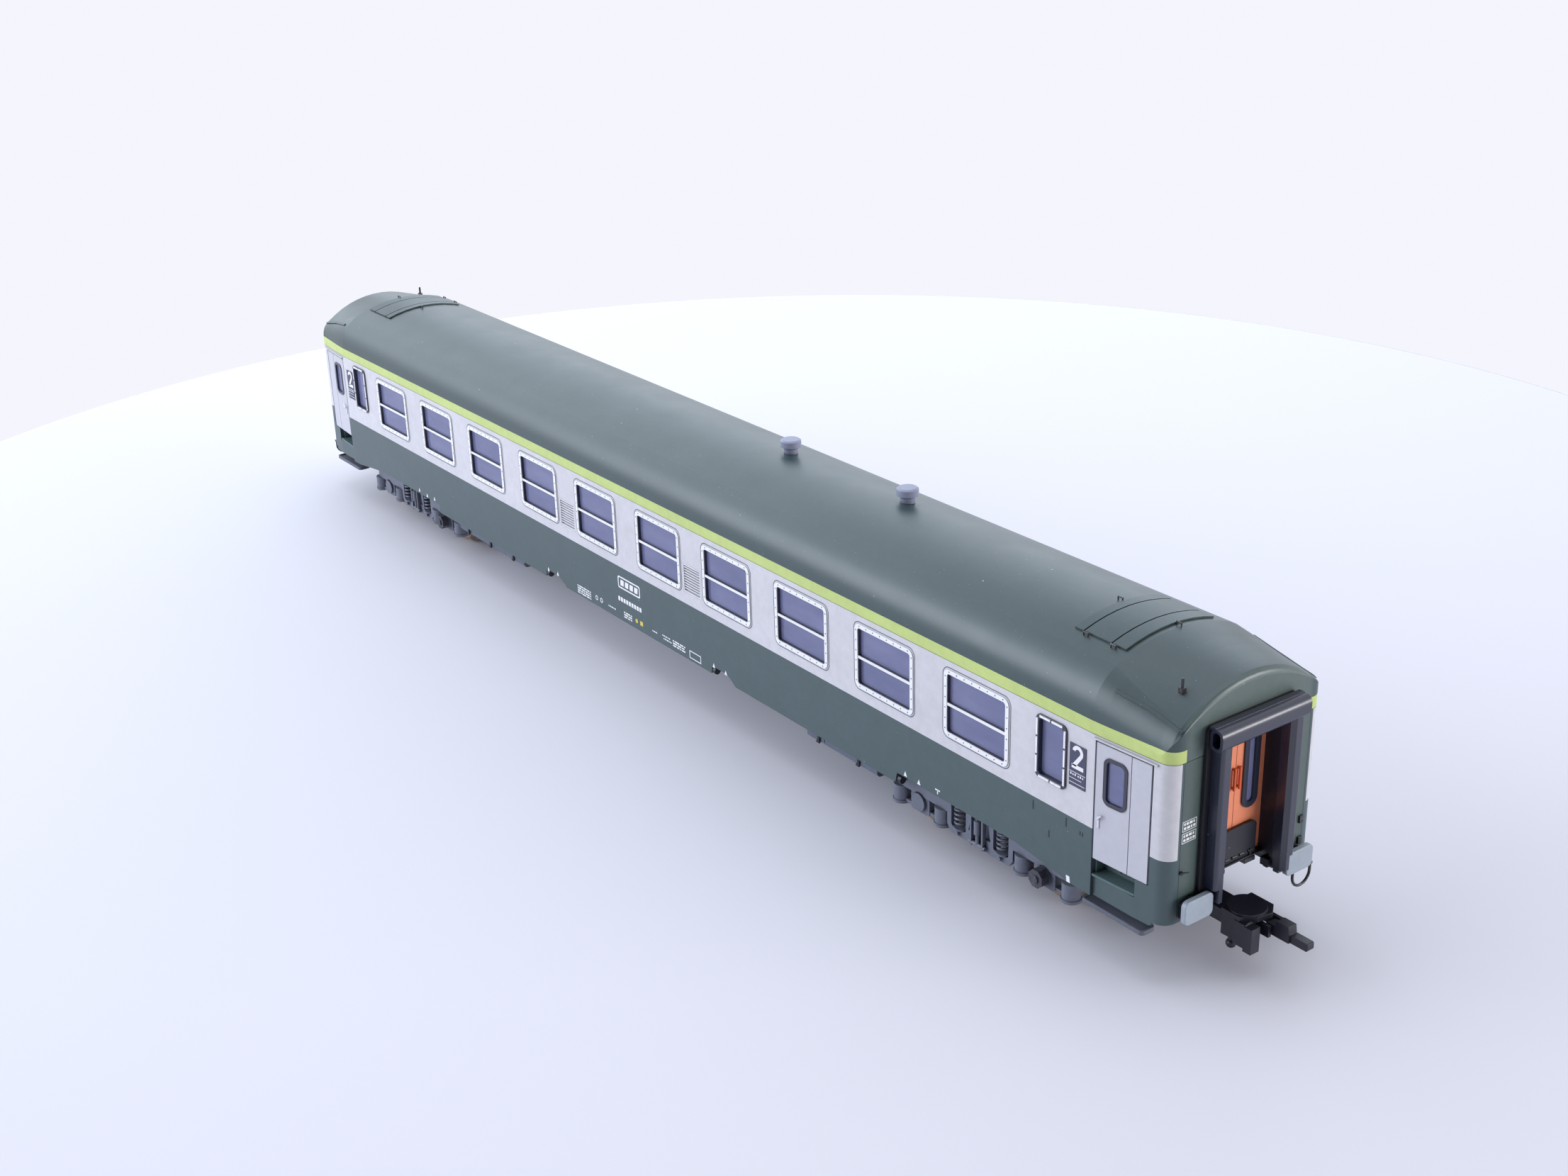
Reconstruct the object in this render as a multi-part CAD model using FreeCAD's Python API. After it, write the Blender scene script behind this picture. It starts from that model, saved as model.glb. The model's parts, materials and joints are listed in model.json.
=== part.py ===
import FreeCAD, Part
import math
import os
from FreeCAD import Vector as V

# Ten-compartment passenger coach, 1:87, standing on its wheel flanges.
# X runs along the coach, Y across it, Z up from the standing surface. All sizes in mm.

# Body
HALF_WIDTH = 16.36        # body side to centre line
END_X = 138.7             # outer face of the end wall
END_HALF_WIDTH = 15.5     # the sides taper in beside the entrance doors
VESTIBULE_X = 124.7       # where the taper starts
CORNER_R = 2.3            # upright corners in plan
WALL = 1.0
SKIRT_Z = 9.65            # lowest edge of the side skirt
BOGIE_SKIRT_Z = 11.5      # raised skirt edge over the bogies
END_SKIRT_Z = 9.9         # skirt edge below the entrance doors
BUFFER_SKIRT_Z = 10.6     # bottom of the end wall
NOTCH_Z = 11.2            # jacking notches in the skirt
BODY_TOP_Z = 36.06
SIDE_SLOPE = math.degrees(math.atan2(HALF_WIDTH - END_HALF_WIDTH, END_X - CORNER_R - VESTIBULE_X))

# Roof
ROOF_SEAM_Z = 36.14
ROOF_TOP_Z = 47.57
ROOF_SPRING_Z = 38.1      # where the side starts to curve over
ROOF_SHOULDER_R = 7.6
ROOF_WALL = 1.2
ROOF_END_X = 124.0        # the roof starts to dip here
ROOF_EDGE_R = 1.2

# Side windows
WINDOW_COUNT = 10
WINDOW_PITCH = 22.17
WINDOW_W = 13.23
WINDOW_H = 9.94
WINDOW_Z = 28.97
FRAME_BORDER = 0.75
SMALL_X = 116.25
SMALL_W = 5.1
SMALL_H = 9.1
SMALL_Z = 29.95
GRILLE_XS = (22.15, -22.2)

# Entrance doors
DOOR_X0 = 125.0
DOOR_X1 = 135.5
DOOR_Z0 = 16.3
DOOR_Z1 = 35.2
DOOR_SPLIT = 131.65
WELL_X1 = 133.1          # the foot well stops short of the narrow leaf
WELL_Z = 13.2

# Running gear
BOGIE_X = 97.8
HALF_WHEELBASE = 14.7
AXLE_Z = 6.2
TREAD_R = 5.2
FLANGE_R = 6.2
WHEEL_Y0 = 7.2
WHEEL_Y1 = 10.0
AXLE_R = 1.0
JOURNAL_R = 0.75
RUNNING_CLEARANCE = 0.05
PIVOT_R = 1.5
BEAM_Y0 = 12.2
BEAM_Y1 = 13.6

# Ends
BUFFER_Y = 10.6
BUFFER_Z = 13.0
BUFFER_FACE_X = 140.8
BUFFER_SHANK_R = 0.9
PASSAGE_Y = 6.0           # half width of the gangway passage
PASSAGE_Z0 = 15.25
PASSAGE_Z1 = 36.9
LEAF_X = 136.6            # outer face of the gangway doors
LEAF_WINDOW_Y = 3.12
COUPLER_PIVOT_X = 127.0
COUPLER_PIN_R = 0.8
LATCH_X = 144.2
LATCH_Z = 7.2
LATCH_PIN_R = 0.4

FLOOR_Z0 = 14.0
FLOOR_Z1 = 15.0


def box(x0, x1, y0, y1, z0, z1):
    return Part.makeBox(x1 - x0, y1 - y0, z1 - z0, V(x0, y0, z0))


def soft_box(x0, x1, y0, y1, z0, z1, r, axis):
    # box with the four edges along one axis rounded
    solid = box(x0, x1, y0, y1, z0, z1)
    edges = [e for e in solid.Edges if abs(e.tangentAt(e.FirstParameter)[axis]) > 0.9]
    return solid.makeFillet(r, edges)


def rod(r, start, end):
    a = V(*start)
    b = V(*end)
    return Part.makeCylinder(r, (b - a).Length, a, b - a)


def prism(path, plane, a, b):
    # closed outline from points (u, v) and arcs (u, v, via_u, via_v), swept from a to b
    lift = {"xy": lambda u, v: V(u, v, a), "xz": lambda u, v: V(u, a, v), "yz": lambda u, v: V(a, u, v)}[plane]
    sweep = {"xy": V(0, 0, b - a), "xz": V(0, b - a, 0), "yz": V(b - a, 0, 0)}[plane]
    edges = []
    for here, there in zip(path, path[1:] + path[:1]):
        start = lift(*here[:2])
        end = lift(*there[:2])
        if len(there) == 4:
            edges.append(Part.Arc(start, lift(*there[2:]), end).toShape())
        else:
            edges.append(Part.makeLine(start, end))
    return Part.Face(Part.Wire(edges)).extrude(sweep)


def join(solids):
    return solids[0].multiFuse(solids[1:]).removeSplitter()


def mirror_x(shape):
    return shape.mirror(V(0, 0, 0), V(1, 0, 0))


def mirror_y(shape):
    return shape.mirror(V(0, 0, 0), V(0, 1, 0))


def half_turn(shape):
    turned = shape.copy()
    turned.rotate(V(0, 0, 0), V(0, 0, 1), 180)
    return turned


def four(shape):
    return [shape, mirror_x(shape), mirror_y(shape), mirror_x(mirror_y(shape))]


def solids_of(shapes):
    return [solid for shape in shapes for solid in shape.Solids]


def save(name, shapes):
    shapes = shapes if isinstance(shapes, list) else [shapes]
    solids = solids_of(shapes)
    whole = solids[0] if len(solids) == 1 else Part.makeCompound(solids)
    whole.exportStep("parts/" + name + ".step")


def window_xs():
    return [(k - (WINDOW_COUNT - 1) / 2) * WINDOW_PITCH for k in range(WINDOW_COUNT)]


def side_plate(x, z, w, h, r, y0, y1):
    # rounded rectangle standing in the side wall, between depths y0 and y1 on the -Y side
    return soft_box(x - w / 2, x + w / 2, y0, y1, z - h / 2, z + h / 2, r, 1)


def on_vestibule(shape):
    # from a flat door plane (x along the side, outside towards -Y) to the tapered side at +X, -Y
    placed = shape.copy()
    placed.rotate(V(0, 0, 0), V(0, 0, 1), SIDE_SLOPE)
    placed.translate(V(VESTIBULE_X, -HALF_WIDTH, 0))
    return placed


# ---- body shell -------------------------------------------------------------

def plan_solid(inset, z0, z1):
    w = HALF_WIDTH - inset
    we = END_HALF_WIDTH - inset
    e = END_X - inset
    r = max(CORNER_R - inset, 0.3)
    k = r * math.sqrt(0.5)
    quarter = [(VESTIBULE_X, w), (e - r, we), (e, we - r, e - r + k, we - r + k)]
    right = quarter + [(x[0], -x[1]) for x in reversed(quarter)]
    right[3] = (e, r - we)
    right[4] = (e - r, -we, e - r + k, r - we - k)
    left = [(-p[0], -p[1]) + tuple(-c for c in p[2:]) for p in right]
    return prism(right + left, "xy", z0, z1)


def skirt_cut():
    edge = [(-141, BUFFER_SKIRT_Z), (-136.4, BUFFER_SKIRT_Z), (-136, END_SKIRT_Z), (-122, END_SKIRT_Z),
            (-109, BOGIE_SKIRT_Z), (-80.5, BOGIE_SKIRT_Z), (-80.3, SKIRT_Z), (-32.9, SKIRT_Z),
            (-32.5, NOTCH_Z), (-27.4, NOTCH_Z), (-24.6, SKIRT_Z), (27.3, SKIRT_Z), (27.7, NOTCH_Z),
            (32.5, NOTCH_Z), (35.0, SKIRT_Z), (80.3, SKIRT_Z), (80.8, BOGIE_SKIRT_Z), (109, BOGIE_SKIRT_Z),
            (122, END_SKIRT_Z), (136, END_SKIRT_Z), (136.4, BUFFER_SKIRT_Z), (141, BUFFER_SKIRT_Z)]
    side = prism(edge + [(141, 5), (-141, 5)], "xz", -20, 0)
    return [side, half_turn(side)]


def frame_groove(x):
    outer = side_plate(x, WINDOW_Z, WINDOW_W + 2.3, WINDOW_H + 2.3, 1.5, -17, 0.12 - HALF_WIDTH)
    inner = side_plate(x, WINDOW_Z, WINDOW_W + 2.0, WINDOW_H + 2.0, 1.35, -17, 1 - HALF_WIDTH)
    return outer.cut(inner)


def side_openings():
    cuts = []
    for x in window_xs():
        cuts.append(side_plate(x, WINDOW_Z, WINDOW_W + 0.9, WINDOW_H + 0.9, 0.9, -17, -15))
        cuts.append(frame_groove(x))
    for x in (SMALL_X, -SMALL_X):
        cuts.append(side_plate(x, SMALL_Z, SMALL_W + 0.6, SMALL_H + 0.6, 0.8, -17, -15))
    for x in GRILLE_XS:
        cuts.append(box(x - 2.9, x + 2.9, -17, -15, 23.3, 29.0))
    return cuts


def below_door_recess():
    # the panel under the foot well starts half a millimetre behind the side
    return prism([(0.3, -1), (8.4, -1), (8.4, -0.02), (0.3, 0.5)], "xy", 9, WELL_Z)


def body_shell():
    shell = plan_solid(0, 9, BODY_TOP_Z).cut(plan_solid(WALL, 8, BODY_TOP_Z + 1))
    cuts = side_openings()
    cuts += [mirror_y(c) for c in cuts]
    cuts += four(box(DOOR_X0, DOOR_X1, -18, -13, DOOR_Z0 - 0.1, DOOR_Z1 + 0.15))
    cuts += four(box(DOOR_X0, WELL_X1, -18, -13, WELL_Z, DOOR_Z0))
    cuts += four(on_vestibule(below_door_recess()))
    cuts += skirt_cut()
    cuts += [box(x, x + 3, -PASSAGE_Y - 0.45, PASSAGE_Y + 0.45, 9, BODY_TOP_Z + 1) for x in (137, -140)]
    cuts += [box(x, x + 3, -8.45, 8.45, 9, 12.6) for x in (137, -140)]
    cuts += four(rod(BUFFER_SHANK_R + 0.4, (137, BUFFER_Y, BUFFER_Z), (140, BUFFER_Y, BUFFER_Z)))
    return join([shell.cut(cuts), end_sill(), half_turn(end_sill())])


def end_sill():
    # ties the two halves of the end wall together under the gangway passage
    bar = box(136.0, 136.6, -6.9, 6.9, FLOOR_Z0 + 0.1, FLOOR_Z1 - 0.05)
    cheeks = [box(136.0, 138.0, min(s * 6.46, s * 6.9), max(s * 6.46, s * 6.9), FLOOR_Z0 + 0.1, FLOOR_Z1 - 0.05) for s in (-1, 1)]
    tabs = [box(136.5, 137.65, y - 1.1, y + 1.1, FLOOR_Z0 + 0.1, 14.8) for y in (-3.2, 3.2)]
    return join([bar] + cheeks + tabs)


def drip_rails():
    rail = box(0.2, 11.6, -0.3, -0.02, DOOR_Z1 + 0.3, DOOR_Z1 + 0.55)
    return four(on_vestibule(rail))


# ---- windows and grilles ----------------------------------------------------

def glazing_side():
    plate = box(-122, 122, -15.3, -14.7, 22.4, 34.9)
    panes = [side_plate(x, WINDOW_Z, WINDOW_W - 0.1, WINDOW_H - 0.1, 0.45, -15.85, -15.2) for x in window_xs()]
    panes += [side_plate(x, SMALL_Z, SMALL_W - 0.1, SMALL_H - 0.1, 0.5, -15.85, -15.2) for x in (SMALL_X, -SMALL_X)]
    return join([plate] + panes)


def window_frame(x):
    lip = side_plate(x, WINDOW_Z, WINDOW_W + 2 * FRAME_BORDER, WINDOW_H + 2 * FRAME_BORDER, 1.2, -16.52, -16.37)
    sleeve = side_plate(x, WINDOW_Z, WINDOW_W + 0.8, WINDOW_H + 0.8, 0.85, -16.45, -15.5)
    opening = side_plate(x, WINDOW_Z, WINDOW_W, WINDOW_H, 0.5, -17, -15)
    bar_z = WINDOW_Z - 0.2
    bar = box(x - WINDOW_W / 2 - 0.1, x + WINDOW_W / 2 + 0.1, -16.45, -15.95, bar_z - 0.24, bar_z + 0.24)
    return join([lip, sleeve]).cut(opening).fuse(bar)


def small_frame(x):
    lip = side_plate(x, SMALL_Z, SMALL_W + 1.3, SMALL_H + 1.3, 1.0, -16.58, -16.37)
    sleeve = side_plate(x, SMALL_Z, SMALL_W + 0.5, SMALL_H + 0.5, 0.75, -16.45, -15.5)
    opening = side_plate(x, SMALL_Z, SMALL_W, SMALL_H, 0.6, -17, -15)
    return join([lip, sleeve]).cut(opening)


def small_clips(x):
    # short bright retaining strips laid on the rubber of the small window
    w = SMALL_W / 2 + 0.33
    h = SMALL_H / 2 + 0.33
    clips = []
    for side in (-1, 1):
        for k in range(3):
            z = SMALL_Z + (k - 1) * 3.05
            clips.append(box(x + side * w - 0.17, x + side * w + 0.17, -16.72, -16.58, z - 1.35, z + 1.35))
        for k in range(2):
            u = x + (k - 0.5) * 2.5
            z = SMALL_Z + side * h
            clips.append(box(u - 1.1, u + 1.1, -16.72, -16.58, z - 0.17, z + 0.17))
    return clips


def grille(x):
    frame = box(x - 2.85, x + 2.85, -16.36, -15.6, 23.35, 28.95).cut(box(x - 2.55, x + 2.55, -17, -15.9, 23.65, 28.65))
    slats = [box(x - 2.6, x + 2.6, -16.3, -15.8, 24.0 + 0.52 * k, 24.22 + 0.52 * k) for k in range(9)]
    return join([frame] + slats)


# ---- entrance doors ---------------------------------------------------------

def along(x):
    return x - VESTIBULE_X


def door_window(grow, y0, y1):
    return soft_box(along(127.05) - grow, along(130.75) + grow, y0, y1, 26.1 - grow, 33.1 + grow, 0.9 + grow, 1)


def door_leaves():
    wide = box(along(DOOR_X0) + 0.28, along(DOOR_SPLIT) - 0.06, 0, 0.8, DOOR_Z0, DOOR_Z1 - 0.1)
    narrow = box(along(DOOR_SPLIT) + 0.06, along(DOOR_X1) - 0.28, 0, 0.8, DOOR_Z0, DOOR_Z1 - 0.1)
    wide = wide.cut(door_window(0.1, -1, 2))
    return four(on_vestibule(wide)) + four(on_vestibule(narrow))


def door_seals():
    ring = join([door_window(0.32, -0.15, -0.01), door_window(0.08, -0.1, 0.7)]).cut(door_window(-0.25, -1, 2))
    edges = [box(x, x + 0.2, 0.02, 0.5, DOOR_Z0, DOOR_Z1 - 0.1) for x in (along(DOOR_X0) + 0.06, along(DOOR_X1) - 0.26)]
    return four(on_vestibule(ring)) + [s for edge in edges for s in four(on_vestibule(edge))]


def door_panes():
    return four(on_vestibule(door_window(-0.28, 0.25, 0.65)))


def door_handles():
    plate = box(along(125.85), along(126.25), -0.12, -0.01, 21.6, 23.5)
    lever = rod(0.14, (along(126.05), -0.38, 23.1), (along(126.85), -0.38, 23.95))
    post = rod(0.14, (along(126.05), -0.38, 23.1), (along(126.05), -0.05, 23.1))
    return four(on_vestibule(join([plate, lever, post])))


def step_well():
    x0 = along(DOOR_X0) + 0.1
    x1 = along(WELL_X1) - 0.1
    outer = box(x0, x1, 0.85, 3.0, WELL_Z + 0.05, DOOR_Z0 - 0.15)
    hollow = box(x0 + 0.3, x1 - 0.3, 0.5, 2.6, WELL_Z + 0.4, DOOR_Z0)
    sill = box(x0, x1, 0.1, 0.9, WELL_Z + 0.05, WELL_Z + 0.4)
    panel = box(along(128.4), along(132.2), 2.4, 2.65, 13.9, 15.7).cut(box(along(128.6), along(132.0), 2.3, 2.55, 14.1, 15.5))
    return join([outer.cut(hollow), sill, panel])


def footboard():
    tread = soft_box(123.0, 135.4, -16.2, -13.4, 8.0, 8.7, 0.7, 2)
    hollow = soft_box(123.3, 135.1, -15.9, -13.7, 8.5, 9.0, 0.5, 2)
    arms = [box(x, x + 0.8, -13.9, -11.7, 8.1, 8.6) for x in (124.2, 133.2)]
    arms += [box(x, x + 0.8, -12.3, -11.7, 8.1, FLOOR_Z0 - 0.02) for x in (124.2, 133.2)]
    return join([tread.cut(hollow)] + arms)


def class_panel():
    return [box(120.05, 123.35, -16.46, -16.37, 26.3, 33.1), box(-123.35, -120.05, -16.46, -16.37, 26.3, 33.1)]


# ---- roof -------------------------------------------------------------------

def roof_section(x, w, top, spring, shoulder, bottom):
    # upright side, shoulder arc and shallow crown arc, all tangent
    yc = w - shoulder
    t = top - shoulder
    zc = (t * t - spring * spring - yc * yc) / (2 * (t - spring))
    crown = top - zc
    reach = math.hypot(yc, spring - zc)
    ty = yc / reach * crown
    tz = zc + (spring - zc) / reach * crown
    turn = math.atan2(tz - spring, ty - yc) / 2
    my = yc + shoulder * math.cos(turn)
    mz = spring + shoulder * math.sin(turn)
    edges = [Part.makeLine(V(x, -w, bottom), V(x, w, bottom)),
             Part.makeLine(V(x, w, bottom), V(x, w, spring)),
             Part.Arc(V(x, w, spring), V(x, my, mz), V(x, ty, tz)).toShape(),
             Part.Arc(V(x, ty, tz), V(x, 0, top), V(x, -ty, tz)).toShape(),
             Part.Arc(V(x, -ty, tz), V(x, -my, mz), V(x, -w, spring)).toShape(),
             Part.makeLine(V(x, -w, spring), V(x, -w, bottom))]
    return Part.Wire(edges)


def side_y(x):
    return HALF_WIDTH - max(x - VESTIBULE_X, 0) * math.tan(math.radians(SIDE_SLOPE))


def roof_steps():
    # distance along the coach and fall of the roof, ending in a rounded edge at the end wall
    steps = [(ROOF_END_X, 0), (126.5, 0.3), (129, 0.62), (131.5, 0.92), (134, 1.2), (136, 1.42), (END_X - ROOF_EDGE_R, 1.6)]
    for k in range(1, 6):
        turn = math.radians(18 * k)
        steps.append((END_X - ROOF_EDGE_R * (1 - math.sin(turn)), 1.6 + ROOF_EDGE_R * (1 - math.cos(turn))))
    return steps


def roof_solid(inset):
    wires = []
    for x, fall in roof_steps():
        width = side_y(min(x, END_X - CORNER_R)) + (0.02 if fall else 0) - inset
        spring = max(ROOF_SPRING_Z - fall, ROOF_SEAM_Z + 0.2)
        wires.append(roof_section(x - inset * fall / 2.8, width, ROOF_TOP_Z - fall - inset, spring,
                                  ROOF_SHOULDER_R - 0.8 * fall - inset, ROOF_SEAM_Z - 3))
    middle = Part.Face(wires[0]).extrude(V(-2 * ROOF_END_X, 0, 0))
    end = Part.makeLoft(wires, True, True)
    return middle.fuse([end, mirror_x(end)])


def roof_outer():
    whole = roof_solid(0).common(plan_solid(0, ROOF_SEAM_Z, 60))
    w = PASSAGE_Y + 0.45
    return whole.cut([box(x, x + 10, -w, w, 30, PASSAGE_Z1 + 0.45) for x in (-145.5, 135.5)])


def roof_shell(outer):
    inner = roof_solid(ROOF_WALL).common(plan_solid(ROOF_WALL, ROOF_SEAM_Z - 1, 60))
    lip = plan_solid(WALL + 0.1, 35.1, ROOF_SEAM_Z + 0.8).cut(plan_solid(WALL + 0.7, 35, ROOF_SEAM_Z + 1))
    lip = lip.cut([box(x, x + 10, -PASSAGE_Y - 0.6, PASSAGE_Y + 0.6, 30, 37.5) for x in (-145.5, 135.5)])
    return outer.cut(inner).fuse(lip)


def roof_skin(region, height):
    # the part of a layer of the given height on the curved roof that lies in the region
    return roof_solid(-height).common(region).cut(roof_solid(-0.03))


def roof_hatch():
    panel = roof_skin(box(112.7, 123.0, -8.95, 8.95, 40, 60), 0.3)
    panel = panel.cut([box(x, x + 0.25, -12, 12, 30, 60) for x in (114.5, 120.1)])
    return [panel, mirror_x(panel)]


def hatch_handles(outer):
    handles = []
    for x, y, z in ((115.4, -9.4, 46.0), (120.9, -9.4, 46.0), (111.9, 1.0, 47.5), (123.6, 1.0, 47.5)):
        legs = [rod(0.12, (x + s * 0.45, y, z - 1.2), (x + s * 0.45, y, z + 0.5)) for s in (-1, 1)]
        bar = rod(0.12, (x - 0.55, y, z + 0.5), (x + 0.55, y, z + 0.5))
        handles.append(join(legs + [bar]).cut(outer))
    return handles + [half_turn(h) for h in handles]


def roof_vent(outer, x, y):
    body = join([Part.makeCylinder(1.3, 3.0, V(x, y, 46.2)), Part.makeCone(1.3, 1.9, 0.35, V(x, y, 48.3)),
                 Part.makeCylinder(1.9, 1.1, V(x, y, 48.65)), Part.makeCone(1.9, 1.55, 0.25, V(x, y, 49.75))])
    return body.cut(outer)


def roof_lug(outer):
    lug = join([rod(0.22, (134.3, -9.5, 43.0), (134.3, -9.5, 46.3)), box(133.9, 134.7, -9.9, -9.1, 43.0, 44.9)])
    lug = lug.cut(outer)
    return [lug, half_turn(lug)]


def roof_gutter():
    # slopes down over each entrance door and round the corner of the roof
    upper = [(126.3, 43.15), (132.15, 42.35), (137.3, 41.3), (138.4, 41.0)]
    lower = [(x, z - 0.3) for x, z in reversed(upper)]
    return four(roof_skin(prism(upper + lower, "xz", -17, -12), 0.18))


# ---- chassis and underfloor -------------------------------------------------

def chassis():
    floor = plan_solid(WALL + 0.15, FLOOR_Z0, FLOOR_Z1)
    floor = floor.cut(four(box(124.4, 136.6, -17, -12.4, 10, 20)))
    floor = floor.cut([box(x, x + 5, -7.0, 7.0, 10, 20) for x in (135.9, -140.9)])
    sill = box(-82, 82, -3.0, 3.0, 12.4, FLOOR_Z0 + 0.1)
    parts = [floor, sill]
    for side in (1, -1):
        parts.append(Part.makeCylinder(4.0, 3.3, V(side * BOGIE_X, 0, 10.75)))
        x = side * COUPLER_PIVOT_X
        parts.append(Part.makeCylinder(2.4, 6.2, V(x, 0, 7.9)))
        lo, hi = sorted((side * 135.6, side * 137.4))
        parts += [box(lo, hi, y, y + 3.5, 10.9, FLOOR_Z0 + 0.1) for y in (-12.0, 8.5)]
    whole = join(parts)
    bores = [Part.makeCylinder(PIVOT_R, 3.0, V(side * BOGIE_X, 0, 10)) for side in (1, -1)]
    bores += [Part.makeCylinder(COUPLER_PIN_R, 3.0, V(side * COUPLER_PIVOT_X, 0, 7)) for side in (1, -1)]
    shank = rod(BUFFER_SHANK_R + 0.4, (135, BUFFER_Y, BUFFER_Z), (138, BUFFER_Y, BUFFER_Z))
    return whole.cut(bores + four(shank))


def pivot_screws():
    screws = []
    for side in (1, -1):
        pin = Part.makeCylinder(PIVOT_R, 4.8, V(side * BOGIE_X, 0, 8.2))
        head = Part.makeCylinder(2.6, 0.9, V(side * BOGIE_X, 0, 7.4))
        slot = box(side * BOGIE_X - 3, side * BOGIE_X + 3, -0.3, 0.3, 7.2, 7.7)
        screws.append(join([pin, head]).cut(slot))
    return screws


def coupler_screws():
    screws = []
    for side in (1, -1):
        x = side * COUPLER_PIVOT_X
        screws.append(join([Part.makeCylinder(COUPLER_PIN_R, 4.0, V(x, 0, 6.0)), Part.makeCylinder(1.6, 0.7, V(x, 0, 5.4))]))
    return screws


def underfloor_boxes():
    boxes = []
    for x0, x1 in ((54.5, 73.8), (-73.8, -45.0)):
        body = box(x0, x1, -14.9, -9.0, 7.1, FLOOR_Z0 - 0.02)
        body = body.makeChamfer(0.5, [e for e in body.Edges if e.BoundBox.XLength > 5 and e.BoundBox.ZMax < 8])
        grooves = [box(x, x + 0.2, -15, -14.75, 7.8, 13.5) for x in (x0 + 4.8, x1 - 4.8)]
        body = body.cut(grooves)
        boxes += [body, half_turn(body)]
    return boxes


def box_latches():
    latches = []
    for x in (58.0, 69.0, -69.5, -59.5, -49.5):
        latch = join([box(x - 0.25, x + 0.25, -15.2, -14.9, 7.3, 9.0), box(x - 0.6, x + 0.1, -15.2, -14.9, 7.3, 7.7)])
        latches += [latch, half_turn(latch)]
    return latches


def air_tanks():
    tanks = []
    for x0, x1, y in ((-26.0, 4.0, 6.5), (10.0, 34.0, -6.5)):
        tank = rod(2.5, (x0, y, 11.0), (x1, y, 11.0))
        tank = tank.makeFillet(0.9, [e for e in tank.Edges if len(e.Vertexes) == 1])
        straps = [rod(2.7, (x, y, 11.0), (x + 0.7, y, 11.0)) for x in (x0 + 5, x1 - 6)]
        feet = [box(x, x + 0.7, y - 1.0, y + 1.0, 13.0, FLOOR_Z0 - 0.02) for x in (x0 + 5, x1 - 6)]
        tanks.append(join([tank] + straps + feet))
    return tanks


def brake_cylinder():
    drum = rod(2.2, (-44.0, 5.0, 11.2), (-37.0, 5.0, 11.2))
    rod_out = rod(0.5, (-37.0, 5.0, 11.2), (-30.0, 5.0, 11.2))
    cap = rod(1.2, (-45.0, 5.0, 11.2), (-44.0, 5.0, 11.2))
    foot = box(-42.0, -39.0, 4.0, 6.0, 12.5, FLOOR_Z0 - 0.02)
    return join([drum, rod_out, cap, foot])


def jack_pads():
    pads = []
    for x in (-32.3, 27.9, 81.0):
        pad = rod(0.65, (x, -15.85, 10.35), (x + 0.75, -15.85, 10.35))
        stem = box(x + 0.1, x + 0.6, -15.3, -14.7, 10.1, FLOOR_Z0 - 0.02)
        arm = box(x + 0.1, x + 0.6, -15.85, -14.9, 10.1, 10.6)
        pads += [join([pad, arm, stem]), half_turn(join([pad, arm, stem]))]
    return pads


def ballast():
    return box(-80, 80, -9.5, 9.5, FLOOR_Z1 + 0.02, 16.1)


# ---- interior ---------------------------------------------------------------

def interior_floor():
    plate = box(-121, 121, -14.4, 14.4, 16.15, 16.8)
    feet = [box(x - 0.5, x + 0.5, y - 0.5, y + 0.5, FLOOR_Z1 + 0.02, 16.2) for x in (-110, 110) for y in (-12, 12)]
    return join([plate] + feet)


def partitions():
    # ten compartments on one side of a glazed corridor wall
    walls = []
    for k in range(WINDOW_COUNT + 1):
        x = (k - WINDOW_COUNT / 2) * WINDOW_PITCH
        walls.append(box(x - 0.35, x + 0.35, -14.3, 5.6, 16.8, 33.6))
    corridor = box(-110.85, 110.85, 5.5, 6.2, 16.8, 33.6)
    doorways = [box(x - 2.6, x + 2.6, 5, 7, 18.2, 31.5) for x in window_xs()]
    bulkheads = [box(x - 0.4, x + 0.4, -14.3, 14.3, 16.8, 33.6).cut(box(x - 1, x + 1, 7.5, 12.8, 16, 31)) for x in (-120.4, 120.4)]
    return [join(walls + [corridor.cut(doorways)])] + bulkheads


def seats():
    benches = []
    for x in window_xs():
        for side in (-1, 1):
            back = x + side * (WINDOW_PITCH / 2 - 0.36)
            x0, x1 = sorted((back, back - side * 5.2))
            b0, b1 = sorted((back, back - side * 1.3))
            bench = join([box(x0, x1, -13.8, 4.6, 16.82, 20.6), box(b0, b1, -13.8, 4.6, 20.5, 28.2)])
            benches.append(bench)
    return benches


# ---- coach ends -------------------------------------------------------------

def gangway_frame():
    # flange on the end wall with a square passage liner running back to the gangway doors
    w = PASSAGE_Y
    plate = soft_box(138.72, 139.3, -9.35, 9.35, 14.1, 40.5, 1.0, 0)
    liner = box(135.9, 139.0, -w - 0.35, w + 0.35, FLOOR_Z1 + 0.03, PASSAGE_Z1 + 0.35)
    feet = []
    for s in (-1, 1):
        feet.append(prism([(s * 5.4, 13.0), (s * 8.4, 12.3), (s * 8.4, 14.2), (s * 5.4, 14.2)], "yz", 138.72, 139.12))
        feet.append(box(137.7, 138.9, min(s * 5.4, s * 6.35), max(s * 5.4, s * 6.35), 13.0, 14.2))
    body = join([plate, liner]).cut([box(135, 140, -w, w, PASSAGE_Z0, PASSAGE_Z1), box(137.7, 140, -w, w, 10, 16)])
    return join([body] + feet)


def oval_y(width, height, x, z, y0, y1):
    r = width / 2
    h = height / 2 - r
    path = [(x - r, z - h), (x - r, z + h), (x + r, z + h, x, z + h + r), (x + r, z - h), (x - r, z - h, x, z - h - r)]
    return prism(path[1:], "xz", y0, y1)


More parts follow.
